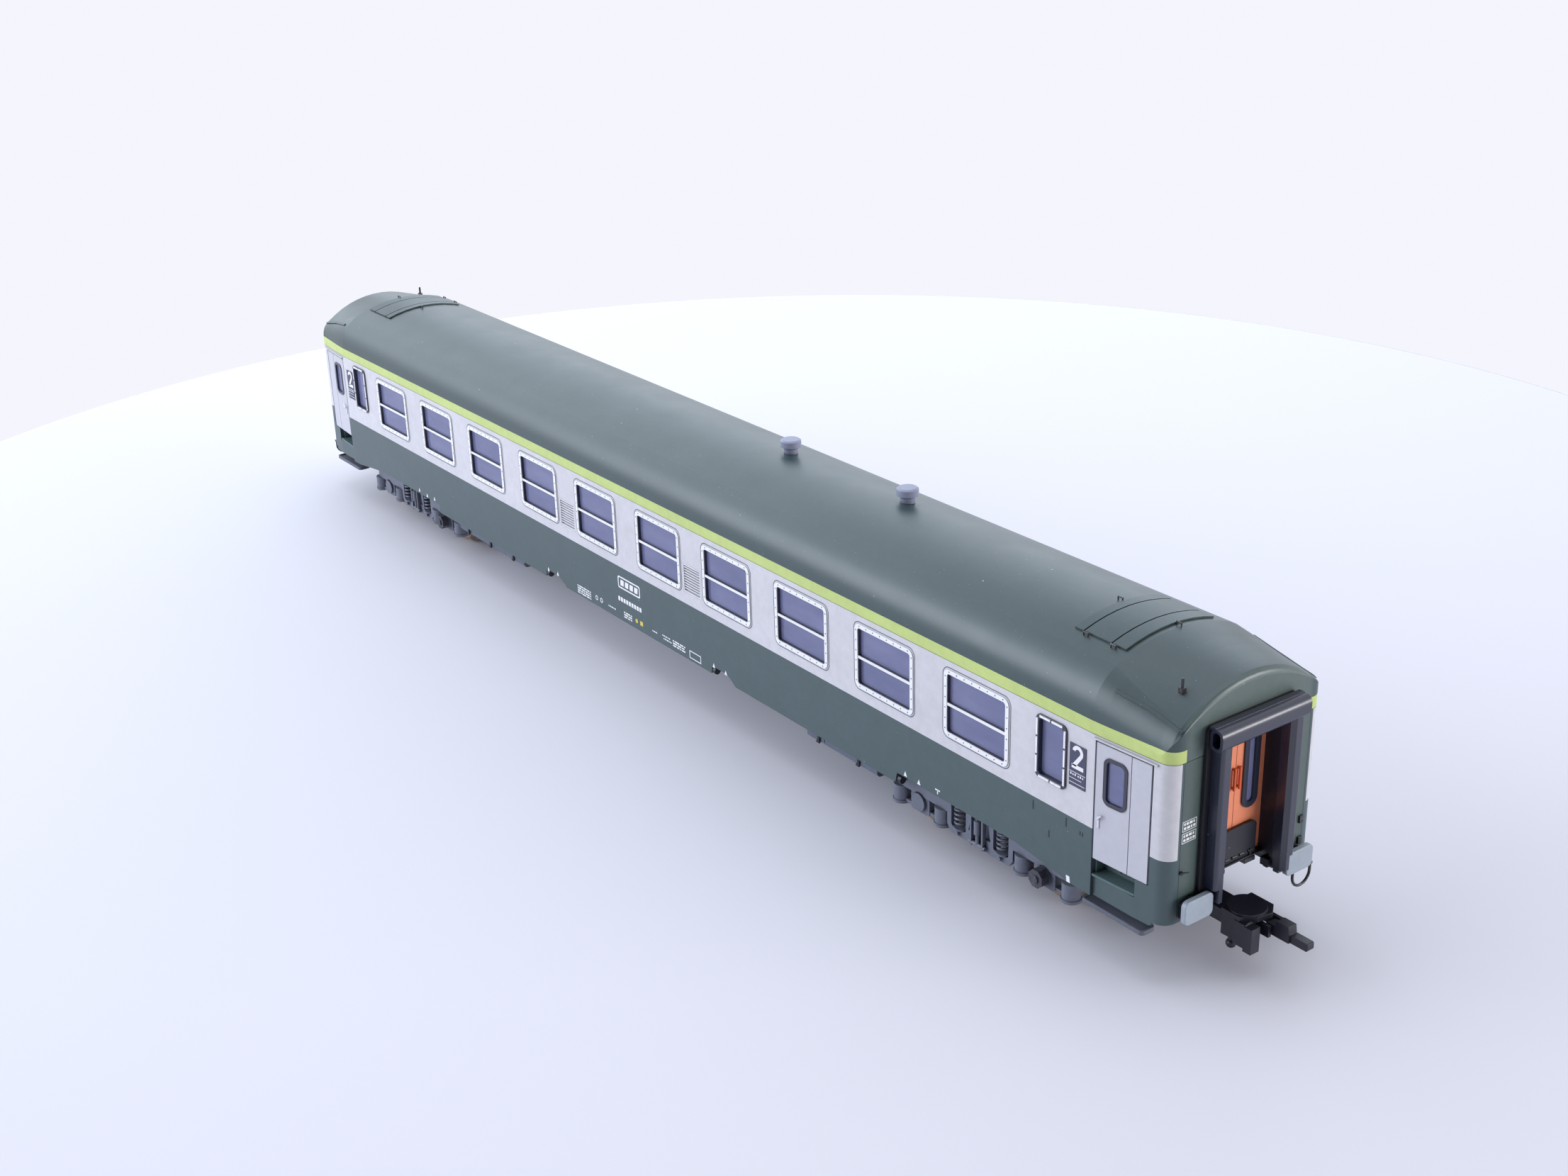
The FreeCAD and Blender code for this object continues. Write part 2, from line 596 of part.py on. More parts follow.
def gangway_bellows():
    # two upright rubber rolls with a cross roll over them
    outline = [(139.32, PASSAGE_Y), (140.8, PASSAGE_Y), (141.4, 6.7), (141.4, 7.85), (140.9, 8.35, 141.25, 8.2), (139.32, 8.35)]
    post = prism(outline, "xy", 12.9, 38.2)
    post = post.cut(box(139, 142, 7.4, 10, 12, BUFFER_Z + 2.2))
    roll = oval_y(2.4, 3.4, 140.55, 38.95, -9.1, 9.1)
    bore = oval_y(1.4, 2.4, 140.55, 38.95, -10, 10)
    lip = box(139.32, 140.3, -9.1, 9.1, 40.3, 40.75)
    whole = join([post, mirror_y(post), roll, lip])
    return whole.cut(bore)


def leaf_window(grow, x0, x1):
    w = 1.12 + grow
    return soft_box(x0, x1, LEAF_WINDOW_Y - w, LEAF_WINDOW_Y + w, 23.38 - grow, 36.1 + grow, w - 0.1, 0)


def gangway_doors():
    leaf = box(LEAF_X - 0.6, LEAF_X, 0.05, PASSAGE_Y - 0.02, PASSAGE_Z0 + 0.02, PASSAGE_Z1 - 0.02)
    leaf = leaf.cut(leaf_window(0, 135, 138))
    return [leaf, mirror_y(leaf)]


def gangway_seals():
    ring = join([leaf_window(0.48, LEAF_X + 0.01, LEAF_X + 0.3), leaf_window(-0.02, LEAF_X - 0.5, LEAF_X + 0.1)])
    ring = ring.cut(leaf_window(-0.37, 135, 138))
    return [ring, mirror_y(ring)]


def gangway_panes():
    pane = leaf_window(-0.39, LEAF_X - 0.4, LEAF_X - 0.1)
    return [pane, mirror_y(pane)]


def gangway_handles():
    x = LEAF_X + 0.4
    stubs = [rod(0.2, (LEAF_X + 0.01, 0.55, z), (x, 0.55, z)) for z in (27.1, 30.1)]
    handle = join([rod(0.22, (x, 0.55, 26.8), (x, 0.55, 30.4))] + stubs)
    return [handle, mirror_y(handle)]


def bridge_plate():
    # folding step plate standing up against the gangway doors
    plate = box(136.95, 137.35, -4.5, 4.5, 15.6, 20.6)
    plate = plate.makeFillet(0.8, [e for e in plate.Edges if e.BoundBox.ZMin > 20 and e.BoundBox.YLength < 0.1])
    knuckles = [rod(0.26, (137.3, y, 15.9), (137.3, y + 0.9, 15.9)) for y in (-3.8, -2.0, -0.45, 1.1, 2.9)]
    base = box(136.8, 137.4, -4.5, 4.5, PASSAGE_Z0 + 0.01, 15.7)
    clips = [box(137.3, 137.6, y - 0.2, y + 0.2, PASSAGE_Z0 + 0.01, 16.2) for y in (-3.3, 3.3)]
    return join([plate, base] + knuckles + clips)


def buffer_housings():
    base = soft_box(138.72, 139.1, BUFFER_Y - 2.0, BUFFER_Y + 2.0, BUFFER_Z - 1.8, BUFFER_Z + 1.0, 0.4, 0)
    tube = rod(1.35, (138.9, BUFFER_Y, BUFFER_Z), (139.35, BUFFER_Y, BUFFER_Z))
    bore = rod(BUFFER_SHANK_R + RUNNING_CLEARANCE, (138, BUFFER_Y, BUFFER_Z), (140, BUFFER_Y, BUFFER_Z))
    housing = join([base, tube]).cut(bore)
    return [housing, mirror_y(housing)]


def buffer_head():
    plate = soft_box(BUFFER_FACE_X - 0.85, BUFFER_FACE_X, BUFFER_Y - 2.85, BUFFER_Y + 2.85, BUFFER_Z - 1.9, BUFFER_Z + 1.9, 0.9, 0)
    front = [e for e in plate.Edges if e.BoundBox.XMin > BUFFER_FACE_X - 0.01]
    plate = plate.makeFillet(0.18, front)
    shank = rod(BUFFER_SHANK_R, (136.2, BUFFER_Y, BUFFER_Z), (140.1, BUFFER_Y, BUFFER_Z))
    return join([plate, shank])


def grab_ring():
    # wire loop hanging under one buffer from a small bracket on the end wall
    y = 12.4
    z = 9.6
    loop = Part.makeTorus(1.9, 0.22, V(139.75, y, z), V(1, 0, 0))
    loop = loop.cut(box(139, 141, y - 4, y + 4, z, z + 4))
    legs = [rod(0.22, (139.75, y + s * 1.9, z), (139.75, y + s * 1.9, 11.0)) for s in (-1, 1)]
    bracket = box(138.72, 139.97, y - 2.2, y + 2.2, 10.65, 11.05)
    return join([loop] + legs + [bracket])


def end_fittings():
    # lamp iron, socket and cable holders on the end wall
    pin = join([rod(0.3, (138.72, -12.6, 18.7), (139.0, -12.6, 18.7)), rod(0.12, (138.8, -12.6, 18.7), (139.9, -12.2, 19.2))])
    sockets = [box(138.72, 139.0, 12.1, 12.9, z - 0.6, z + 0.6) for z in (18.4, 14.9)]
    return [pin] + sockets


# ---- coupler ----------------------------------------------------------------

def coupler_drawbar():
    arm = box(COUPLER_PIVOT_X, 133.0, -1.5, 1.5, 6.35, 7.65)
    eye = Part.makeCylinder(2.2, 1.3, V(COUPLER_PIVOT_X, 0, 6.35))
    pocket = box(132.5, 138.3, -2.1, 2.1, 5.9, 8.1)
    bore = Part.makeCylinder(COUPLER_PIN_R + RUNNING_CLEARANCE, 4, V(COUPLER_PIVOT_X, 0, 5))
    return join([arm, eye, pocket]).cut(bore)


def coupler_head():
    block = box(138.32, 143.0, -2.9, 2.9, 4.8, 8.6)
    notch = box(141.2, 144.0, -1.0, 3.4, 4.0, 9.0)
    plate = prism([(138.4, -3.2), (141.8, -3.2), (143.6, -1.2), (144.0, 1.4), (142.6, 3.2), (138.4, 3.2)], "xy", 8.5, 9.3)
    disc = Part.makeCylinder(2.9, 0.35, V(140.6, -0.2, 9.25))
    post = box(143.0, 144.5, -3.5, -1.7, 4.3, 8.4)
    cheek = box(141.0, 143.1, -3.3, -1.2, 4.6, 8.5)
    pin = rod(0.5, (139.3, -1.6, 3.3), (139.3, -1.6, 4.9))
    bulb = Part.makeSphere(0.8, V(139.3, -1.6, 3.1))
    lugs = [box(141.0, 145.0, y, y + 0.6, 6.3, 8.1) for y in (-0.5, 2.5)]
    bridge = box(140.5, 141.6, -1.1, 3.1, 6.3, 8.6)
    hinge_pin = rod(LATCH_PIN_R, (LATCH_X, -0.4, LATCH_Z), (LATCH_X, 3.0, LATCH_Z))
    return join([block.cut(notch), plate, disc, post, cheek, pin, bulb, bridge, hinge_pin] + lugs)


def coupler_latch():
    eye = rod(0.85, (LATCH_X, 0.45, LATCH_Z), (LATCH_X, 2.15, LATCH_Z))
    jaw = prism([(LATCH_X, 6.4), (150.8, 6.4), (151.0, 6.6), (151.0, 7.5), (150.8, 7.7), (147.9, 7.7), (147.7, 9.0),
                 (145.5, 9.0), (145.3, 8.05), (LATCH_X, 8.05)], "xz", 0.45, 2.15)
    bore = rod(LATCH_PIN_R + RUNNING_CLEARANCE, (LATCH_X, 0, LATCH_Z), (LATCH_X, 4, LATCH_Z))
    slim = box(147.9, 152, 0.4, 0.8, 6, 8)
    return join([eye, jaw]).cut([bore, slim])


# ---- bogies -----------------------------------------------------------------

def side_beam():
    # fish-bellied beam with two spring windows, made on the -Y side about the pivot
    path = [(-20.0, 9.5), (-11.2, 9.6), (-9.6, 11.1), (9.6, 11.1), (11.2, 9.6), (20.0, 9.5), (20.0, 7.42),
            (7.75, 7.42), (7.75, 5.4), (6.9, 4.2), (-6.9, 4.2), (-7.75, 5.4), (-7.75, 7.42), (-20.0, 7.42)]
    beam = prism(path, "xz", -BEAM_Y1, -BEAM_Y0)
    beam = beam.cut([soft_box(x - 1.75, x + 1.75, -15, -11, 5.4, 9.7, 0.5, 1) for x in (-5.0, 5.0)])
    beam = beam.cut(prism([(-1.9, 9.6), (1.9, 9.6), (2.6, 6.4), (-2.6, 6.4)], "xz", -15, -BEAM_Y1 + 0.5))
    beam = beam.cut([rod(1.7, (x, -15, AXLE_Z), (x, -11, AXLE_Z)) for x in (-HALF_WHEELBASE, HALF_WHEELBASE)])
    pads = [Part.makeCylinder(1.25, 0.35, V(x, -12.9, z)) for x in (-5.0, 5.0) for z in (5.3, 9.45)]
    knobs = [rod(0.42, (x, -14.1, 4.85), (x, -13.4, 4.85)) for x in (-5.0, 5.0)]
    return join([beam] + pads + knobs)


def bogie_frame():
    bolster = join([box(-6.2, 6.2, -11.5, 11.5, 8.6, 10.45), box(-3.4, 3.4, -12.3, 12.3, 8.6, 10.45)])
    boss = Part.makeCylinder(3.6, 1.85, V(0, 0, 8.6))
    shoes = [box(min(s * 6.0, s * 9.0), max(s * 6.0, s * 9.0), y - 0.7, y + 0.7, 7.4, 9.0) for s in (-1, 1) for y in (-9.1, 9.1)]
    relief = [box(min(s * 3.2, s * 7), max(s * 3.2, s * 7), y - 1.6, y + 1.6, 8, 11) for s in (-1, 1) for y in (-4.4, 4.4)]
    bore = Part.makeCylinder(PIVOT_R + RUNNING_CLEARANCE, 6, V(0, 0, 6))
    beam = side_beam()
    return join([bolster.cut(relief), boss, beam, mirror_y(beam)] + shoes).cut(bore)


def axle_box():
    # bearing box with a saddle and a spring pot on each side of the axle
    block = soft_box(-2.3, 2.3, -13.4, -11.4, 4.2, 7.38, 0.5, 1)
    cover = rod(1.55, (0, -13.9, AXLE_Z), (0, -13.3, AXLE_Z))
    saddle = box(-6.2, 6.2, -13.3, -12.3, 4.5, 5.1)
    pots = [Part.makeCylinder(1.5, 2.98, V(x, -12.8, 4.4)) for x in (-5.2, 5.2)]
    rims = [Part.makeCylinder(1.65, 0.5, V(x, -12.8, 4.2)) for x in (-5.2, 5.2)]
    bore = rod(JOURNAL_R + RUNNING_CLEARANCE, (0, -12.7, AXLE_Z), (0, -11, AXLE_Z))
    return join([block, cover, saddle] + pots + rims).cut(bore)


def axle_boxes():
    boxes = []
    for s in (-1, 1):
        placed = axle_box()
        placed.translate(V(s * HALF_WHEELBASE, 0, 0))
        boxes += [placed, mirror_y(placed)]
    return boxes


def coil(x, y, z0, z1, turns, radius, wire):
    pitch = (z1 - z0 - 2 * wire) / turns
    helix = Part.makeHelix(pitch, pitch * turns, radius)
    ring = Part.Wire(Part.makeCircle(wire, V(radius, 0, 0), V(0, 1, 0)))
    spring = Part.Wire(helix.Edges).makePipeShell([ring], True, True)
    spring.translate(V(x, y, z0 + wire))
    return spring


def bogie_springs():
    springs = []
    for x in (-5.0, 5.0):
        spring = coil(x, -12.9, 5.7, 9.4, 4, 1.0, 0.24)
        springs += [spring, mirror_y(spring)]
    return springs


def bogie_links():
    # vertical damper between two link plates at mid-length of each beam
    plates = [box(s * 1.35 - 0.18, s * 1.35 + 0.18, -14.3, -13.62, 4.55, 10.9) for s in (-1, 1)]
    spindle = rod(0.35, (-1.9, -13.98, 5.0), (1.9, -13.98, 5.0))
    top_pin = rod(0.35, (-1.9, -13.98, 10.2), (1.9, -13.98, 10.2))
    damper = join([rod(0.62, (0, -13.98, 7.0), (0, -13.98, 9.4)), rod(0.35, (0, -13.98, 4.9), (0, -13.98, 10.3))])
    link = join(plates + [spindle, top_pin, damper])
    return [link, mirror_y(link)]


def generator():
    # eight-sided housing flanged to the axle box cover
    r = 1.58
    corners = [(HALF_WHEELBASE + r * math.cos(math.radians(22.5 + 45 * k)), 6.3 + r * math.sin(math.radians(22.5 + 45 * k)))
               for k in range(8)]
    housing = prism(corners, "xz", -15.4, -13.92)
    cap = rod(0.7, (HALF_WHEELBASE, -15.65, 6.3), (HALF_WHEELBASE, -15.3, 6.3))
    return join([housing, cap])


def wheel():
    profile = [(1.0, WHEEL_Y0), (1.0, 9.8), (1.9, 9.8), (1.9, 9.0), (4.15, 9.0), (4.3, WHEEL_Y1), (TREAD_R - 0.12, WHEEL_Y1),
               (TREAD_R, 9.85), (TREAD_R + 0.08, 8.15), (FLANGE_R - 0.15, 7.9), (FLANGE_R, 7.65), (FLANGE_R - 0.15, 7.35),
               (5.6, WHEEL_Y0), (4.2, WHEEL_Y0), (4.05, 7.9), (1.9, 7.9), (1.9, WHEEL_Y0)]
    points = [V(0, y, AXLE_Z + r) for r, y in profile]
    face = Part.Face(Part.makePolygon(points + points[:1]))
    return face.revolve(V(0, 0, AXLE_Z), V(0, 1, 0), 360)


def wheels(x):
    one = wheel()
    pair = [one, mirror_y(one)]
    for w in pair:
        w.translate(V(x, 0, 0))
    return pair


def axle(x):
    shaft = rod(AXLE_R, (x, -10.9, AXLE_Z), (x, 10.9, AXLE_Z))
    journals = rod(JOURNAL_R, (x, -12.5, AXLE_Z), (x, 12.5, AXLE_Z))
    return join([shaft, journals])


def at_bogie(shapes, x):
    placed = [s.copy() for s in (shapes if isinstance(shapes, list) else [shapes])]
    for s in placed:
        s.translate(V(x, 0, 0))
    return placed


def both_sides(shapes):
    return shapes + [mirror_y(s) for s in shapes]


# ---- assembly ---------------------------------------------------------------

def build_body():
    save("body_shell", body_shell())
    glass = glazing_side()
    panes = gangway_panes()
    save("glazing", [glass, mirror_y(glass)] + door_panes() + panes + [half_turn(p) for p in panes])
    save("window_frames", both_sides([window_frame(x) for x in window_xs()]))
    save("small_window_seals", both_sides([small_frame(x) for x in (SMALL_X, -SMALL_X)]))
    save("small_window_clips", both_sides(small_clips(SMALL_X) + small_clips(-SMALL_X)))
    save("louvre_grilles", both_sides([grille(x) for x in GRILLE_XS]))
    save("entrance_doors", door_leaves())
    save("door_seals", door_seals())
    save("door_handles", door_handles())
    save("step_wells", four(on_vestibule(step_well())))
    save("footboards", four(footboard()))
    save("class_panels", both_sides(class_panel()))


def build_roof():
    outer = roof_outer()
    save("roof_shell", roof_shell(outer))
    save("roof_hatches", roof_hatch())
    save("roof_vents", [roof_vent(outer, x, 3.65) for x in (26.3, 59.4)])
    save("roof_fittings", hatch_handles(outer) + roof_lug(outer))
    save("rain_gutters", drip_rails() + roof_gutter())


def build_underframe():
    save("chassis", chassis())
    save("pivot_screws", pivot_screws() + coupler_screws())
    save("underfloor_boxes", underfloor_boxes())
    save("underfloor_brackets", box_latches() + jack_pads())
    save("brake_gear", air_tanks() + [brake_cylinder()])
    save("ballast", ballast())
    save("interior_floor", interior_floor())
    save("partitions", partitions())
    save("seats", seats())


def build_ends():
    # fixed parts that are the same at both ends of the coach
    parts = {"gangway_frames": [gangway_frame()], "gangway_bellows": [gangway_bellows()],
             "gangway_doors": gangway_doors(), "gangway_seals": gangway_seals(),
             "gangway_handles": gangway_handles(), "bridge_plates": [bridge_plate()],
             "buffer_housings": buffer_housings(), "grab_rings": [grab_ring()], "end_fittings": end_fittings()}
    for name, shapes in parts.items():
        save(name, shapes + [half_turn(s) for s in shapes])


def build_moving_end(name, place):
    save("buffer_left_" + name, place(mirror_y(buffer_head())))
    save("buffer_right_" + name, place(buffer_head()))
    save("coupler_drawbar_" + name, place(coupler_drawbar()))
    save("coupler_head_" + name, place(coupler_head()))
    save("coupler_latch_" + name, place(coupler_latch()))


def build_bogie(name, x):
    save("bogie_frame_" + name, at_bogie(bogie_frame(), x))
    save("axle_boxes_" + name, at_bogie(axle_boxes(), x))
    save("bogie_springs_" + name, at_bogie(bogie_springs(), x))
    save("bogie_links_" + name, at_bogie(bogie_links(), x))
    save("generator_" + name, at_bogie(generator(), x))


os.makedirs("parts", exist_ok=True)
build_body()
build_roof()
build_underframe()
build_ends()
build_moving_end("front", lambda s: s)
build_moving_end("rear", half_turn)
build_bogie("front", BOGIE_X)
build_bogie("rear", -BOGIE_X)
axle_xs = [side * BOGIE_X + s * HALF_WHEELBASE for side in (1, -1) for s in (1, -1)]
for index, x in enumerate(axle_xs):
    save("wheelset_" + str(index + 1), wheels(x) + [axle(x)])
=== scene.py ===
import json
import math

import bmesh
import bpy
from mathutils import Matrix, Vector


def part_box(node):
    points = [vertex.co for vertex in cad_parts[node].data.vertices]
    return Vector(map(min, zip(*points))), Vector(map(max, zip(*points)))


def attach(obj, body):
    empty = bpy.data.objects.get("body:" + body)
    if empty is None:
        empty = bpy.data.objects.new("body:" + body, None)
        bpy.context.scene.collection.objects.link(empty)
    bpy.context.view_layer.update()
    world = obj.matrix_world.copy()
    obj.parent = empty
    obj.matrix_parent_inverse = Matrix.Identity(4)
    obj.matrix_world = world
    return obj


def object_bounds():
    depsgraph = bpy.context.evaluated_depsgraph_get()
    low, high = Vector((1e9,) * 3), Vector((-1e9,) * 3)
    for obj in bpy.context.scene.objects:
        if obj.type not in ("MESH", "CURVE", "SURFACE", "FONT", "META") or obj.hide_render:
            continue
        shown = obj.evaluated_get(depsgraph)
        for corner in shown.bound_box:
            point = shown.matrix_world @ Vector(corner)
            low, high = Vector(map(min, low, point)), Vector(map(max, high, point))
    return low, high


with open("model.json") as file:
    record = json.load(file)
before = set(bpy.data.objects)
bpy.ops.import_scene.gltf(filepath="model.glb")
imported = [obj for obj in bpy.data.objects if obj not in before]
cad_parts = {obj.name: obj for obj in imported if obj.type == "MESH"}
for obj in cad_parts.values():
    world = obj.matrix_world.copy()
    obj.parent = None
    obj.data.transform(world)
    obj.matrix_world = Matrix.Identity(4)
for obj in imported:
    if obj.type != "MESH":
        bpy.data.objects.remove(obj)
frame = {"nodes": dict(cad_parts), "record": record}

# Looks, small marks, table, light and camera for the model passenger coach. The CAD nodes keep
# their shape and place. Node trees and the stage are in metres, the small marks in millimetres.

CAD_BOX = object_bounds()
NODES = frame["nodes"]
MM = 0.001


# ---- node helpers -----------------------------------------------------------

class Tree:
    """A material's node tree with short calls for the nodes used here."""

    def __init__(self, name):
        self.mat = bpy.data.materials.new(name)
        self.mat.use_nodes = True
        self.nodes = self.mat.node_tree.nodes
        self.links = self.mat.node_tree.links
        self.nodes.clear()
        self.out = self.nodes.new("ShaderNodeOutputMaterial")
        self.coord = self.nodes.new("ShaderNodeTexCoord").outputs["Object"]

    def put(self, socket, value):
        if isinstance(value, bpy.types.NodeSocket):
            self.links.new(value, socket)
        elif isinstance(value, tuple) and len(value) == 3 and len(socket.default_value) == 4:
            socket.default_value = (*value, 1.0)
        else:
            socket.default_value = value

    def math(self, op, a, b=0.0):
        n = self.nodes.new("ShaderNodeMath")
        n.operation = op
        self.put(n.inputs[0], a)
        self.put(n.inputs[1], b)
        return n.outputs[0]

    def size(self, value):
        return self.math("ABSOLUTE", value)

    def above(self, value, limit):
        return self.math("GREATER_THAN", value, limit)

    def below(self, value, limit):
        return self.math("LESS_THAN", value, limit)

    def both(self, a, b):
        return self.math("MULTIPLY", a, b)

    def noise(self, scale, detail=3.0, rough=0.5, stretch=None):
        n = self.nodes.new("ShaderNodeTexNoise")
        n.inputs["Scale"].default_value = scale
        n.inputs["Detail"].default_value = detail
        n.inputs["Roughness"].default_value = rough
        self.put(n.inputs["Vector"], self.stretched(stretch) if stretch else self.coord)
        return n.outputs["Fac"]

    def stretched(self, scale):
        n = self.nodes.new("ShaderNodeMapping")
        n.inputs["Scale"].default_value = scale
        self.put(n.inputs["Vector"], self.coord)
        return n.outputs["Vector"]

    def cells(self, scale):
        n = self.nodes.new("ShaderNodeTexVoronoi")
        n.inputs["Scale"].default_value = scale
        self.put(n.inputs["Vector"], self.coord)
        return n.outputs["Distance"]

    def ramp(self, value, low, high, out_low=0.0, out_high=1.0):
        n = self.nodes.new("ShaderNodeMapRange")
        n.clamp = True
        names = ("Value", "From Min", "From Max", "To Min", "To Max")
        for name, v in zip(names, (value, low, high, out_low, out_high)):
            self.put(n.inputs[name], v)
        return n.outputs["Result"]

    def mix(self, fac, a, b, mode="MIX"):
        n = self.nodes.new("ShaderNodeMix")
        n.data_type = "RGBA"
        n.blend_type = mode
        self.put(n.inputs["Factor"], fac)
        self.put(n.inputs["A"], a)
        self.put(n.inputs["B"], b)
        return n.outputs["Result"]

    def grey(self, level):
        n = self.nodes.new("ShaderNodeCombineColor")
        for socket in n.inputs:
            self.put(socket, level)
        return n.outputs[0]

    def axes(self):
        n = self.nodes.new("ShaderNodeSeparateXYZ")
        self.put(n.inputs[0], self.coord)
        return n.outputs

    def crevice(self, distance):
        n = self.nodes.new("ShaderNodeAmbientOcclusion")
        n.samples = 6
        n.inputs["Distance"].default_value = distance
        return n.outputs["AO"]

    def bump(self, height, strength, distance, normal=None):
        n = self.nodes.new("ShaderNodeBump")
        n.inputs["Strength"].default_value = strength
        n.inputs["Distance"].default_value = distance
        self.put(n.inputs["Height"], height)
        if normal is not None:
            self.put(n.inputs["Normal"], normal)
        return n.outputs["Normal"]

    def soft_edge(self, radius):
        n = self.nodes.new("ShaderNodeBevel")
        n.samples = 4
        n.inputs["Radius"].default_value = radius
        return n.outputs["Normal"]

    def surface(self, **sockets):
        n = self.nodes.new("ShaderNodeBsdfPrincipled")
        for name, value in sockets.items():
            self.put(n.inputs[name.replace("_", " ")], value)
        self.links.new(n.outputs["BSDF"], self.out.inputs["Surface"])


# ---- colours by zone --------------------------------------------------------

GREEN = (0.052, 0.084, 0.092)
ROOF_GREEN = (0.031, 0.058, 0.064)
# painted light: the paler greens of the flat ends stand in for the light that falls on them
END_LIT_GREEN = (0.068, 0.100, 0.092)
ROOF_END_LIT_GREEN = (0.085, 0.120, 0.115)
# painted light: paler green for the lit back of the step wells
WELL_LIT_GREEN = (0.09, 0.145, 0.15)
BEIGE = (0.57, 0.565, 0.605)
LIME = (0.48, 0.58, 0.185)
WHITE = (0.80, 0.80, 0.83)
REVEAL = (0.035, 0.036, 0.048)
UNDERFRAME = (0.095, 0.112, 0.158)
STEP_GREY = (0.10, 0.11, 0.145)
INSIDE_GREY = (0.10, 0.11, 0.10)
SILL_BLACK = (0.013, 0.013, 0.018)
DARK_METAL = (0.05, 0.05, 0.055)
HANDLE_PALE = (0.75, 0.75, 0.82)
DUST = (0.75, 0.74, 0.70)
FLECK = (0.55, 0.56, 0.58)
RUBBED = (0.42, 0.43, 0.46)
# colours for the hollows: the dark ones are painted shade as well as dirt; the roof's is dust
DIRT_AND_SHADE = (0.015, 0.015, 0.02)
DIRT_AND_SHADE_ON_BEIGE = (0.10, 0.09, 0.10)
DIRT_AND_SHADE_ON_WHITE = (0.10, 0.10, 0.13)
DIRT_ON_ROOF = (0.10, 0.085, 0.06)

BAND_Z = 21.0 * MM             # beige window band above this, green below
STRIPE_Z = 38.08 * MM          # top of the lime stripe on the roof moulding
RAIL_LOW_Z = 30.0 * MM         # rails over the doors
RAIL_HIGH_Z = 36.0 * MM
WELL_TOP_Z = 16.2 * MM         # step wells
END_X = 138.0 * MM             # the flat ends start here
BODY_CORNER_Y = 13.4 * MM      # the band wraps round the corner as far as this
ROOF_CORNER_Y = 12.7 * MM
# painted light on the ends fades in over these spans
END_LIGHT_FADE_X = (137.6 * MM, 138.6 * MM)
END_LIGHT_FADE_Y = (12.0 * MM, 13.4 * MM)
INNER_X = 137.6 * MM           # inside faces of the walls
INNER_Y = 15.0 * MM
END_SILL_Y = 7.0 * MM          # black bar and tabs under the gangway
END_SILL_Z = 15.1 * MM
HANDLE_X = 124.5 * MM          # entrance door handles
HANDLE_Z = 25.5 * MM
HANDLE_Y = 15.0 * MM
STEPS_X = 118.0 * MM           # step boards beyond this, boxes before it
FRAME_FACE_Y = 16.366 * MM     # outer faces of the window frames
TREAD_Y = (8.0 * MM, 8.3 * MM)


def end_painted_light(t, x, y):
    # painted light: the flat middle of each end is painted a little paler, with soft edges, for the
    # light that falls on the ends
    along = t.ramp(t.size(x), *END_LIGHT_FADE_X)
    across = t.ramp(t.size(y), *END_LIGHT_FADE_Y, 1.0, 0.0)
    return t.both(along, across)


def off_end(t, x, y, corner):
    # 1 everywhere but on the flat middle of the ends
    middle = t.both(t.above(t.size(x), END_X), t.below(t.size(y), corner))
    return t.math("SUBTRACT", 1.0, middle)


def body_colors(t):
    x, y, z = t.axes()
    band = t.both(t.above(z, BAND_Z), off_end(t, x, y, BODY_CORNER_Y))
    # painted light: the flat middle of the end is a paler green
    green = t.mix(end_painted_light(t, x, y), GREEN, END_LIT_GREEN)
    outer = t.mix(band, green, BEIGE)
    sill = t.both(t.below(t.size(y), END_SILL_Y), t.below(z, END_SILL_Z))
    outer = t.mix(sill, outer, SILL_BLACK)
    inside = t.both(t.below(t.size(y), INNER_Y), t.below(t.size(x), INNER_X))
    return t.mix(inside, outer, INSIDE_GREY)


def roof_colors(t):
    x, y, z = t.axes()
    stripe = t.both(t.below(z, STRIPE_Z), off_end(t, x, y, ROOF_CORNER_Y))
    # painted light: the flat middle of the roof end is a paler green
    green = t.mix(end_painted_light(t, x, y), ROOF_GREEN, ROOF_END_LIT_GREEN)
    return t.mix(stripe, green, LIME)


def trim_colors(t):
    # the rails over the doors take the colour of the window band; the step wells are painted paler,
    # painted light reaching into the recess
    z = t.axes()[2]
    rail = t.both(t.above(z, RAIL_LOW_Z), t.below(z, RAIL_HIGH_Z))
    # painted light: paler green in the step wells
    green = t.mix(t.below(z, WELL_TOP_Z), ROOF_GREEN, WELL_LIT_GREEN)
    return t.mix(rail, green, BEIGE)


def dark_colors(t):
    # blackened metal; the entrance door handles are pale like the doors
    x, y, z = t.axes()
    side = t.above(t.size(y), HANDLE_Y)
    low_end = t.both(t.above(t.size(x), HANDLE_X), t.below(z, HANDLE_Z))
    return t.mix(t.both(side, low_end), DARK_METAL, HANDLE_PALE)


def underframe_colors(t):
    # the step boards differ a little from the boxes between the bogies
    return t.mix(t.above(t.size(t.axes()[0]), STEPS_X), UNDERFRAME, STEP_GREY)


def frame_colors(t):
    # bright faces, dark reveals
    x, y, z = t.axes()
    front = t.above(t.size(y), FRAME_FACE_Y)
    end = t.above(t.size(x), END_X)
    return t.mix(t.math("MAXIMUM", front, end), REVEAL, WHITE)


# ---- materials --------------------------------------------------------------

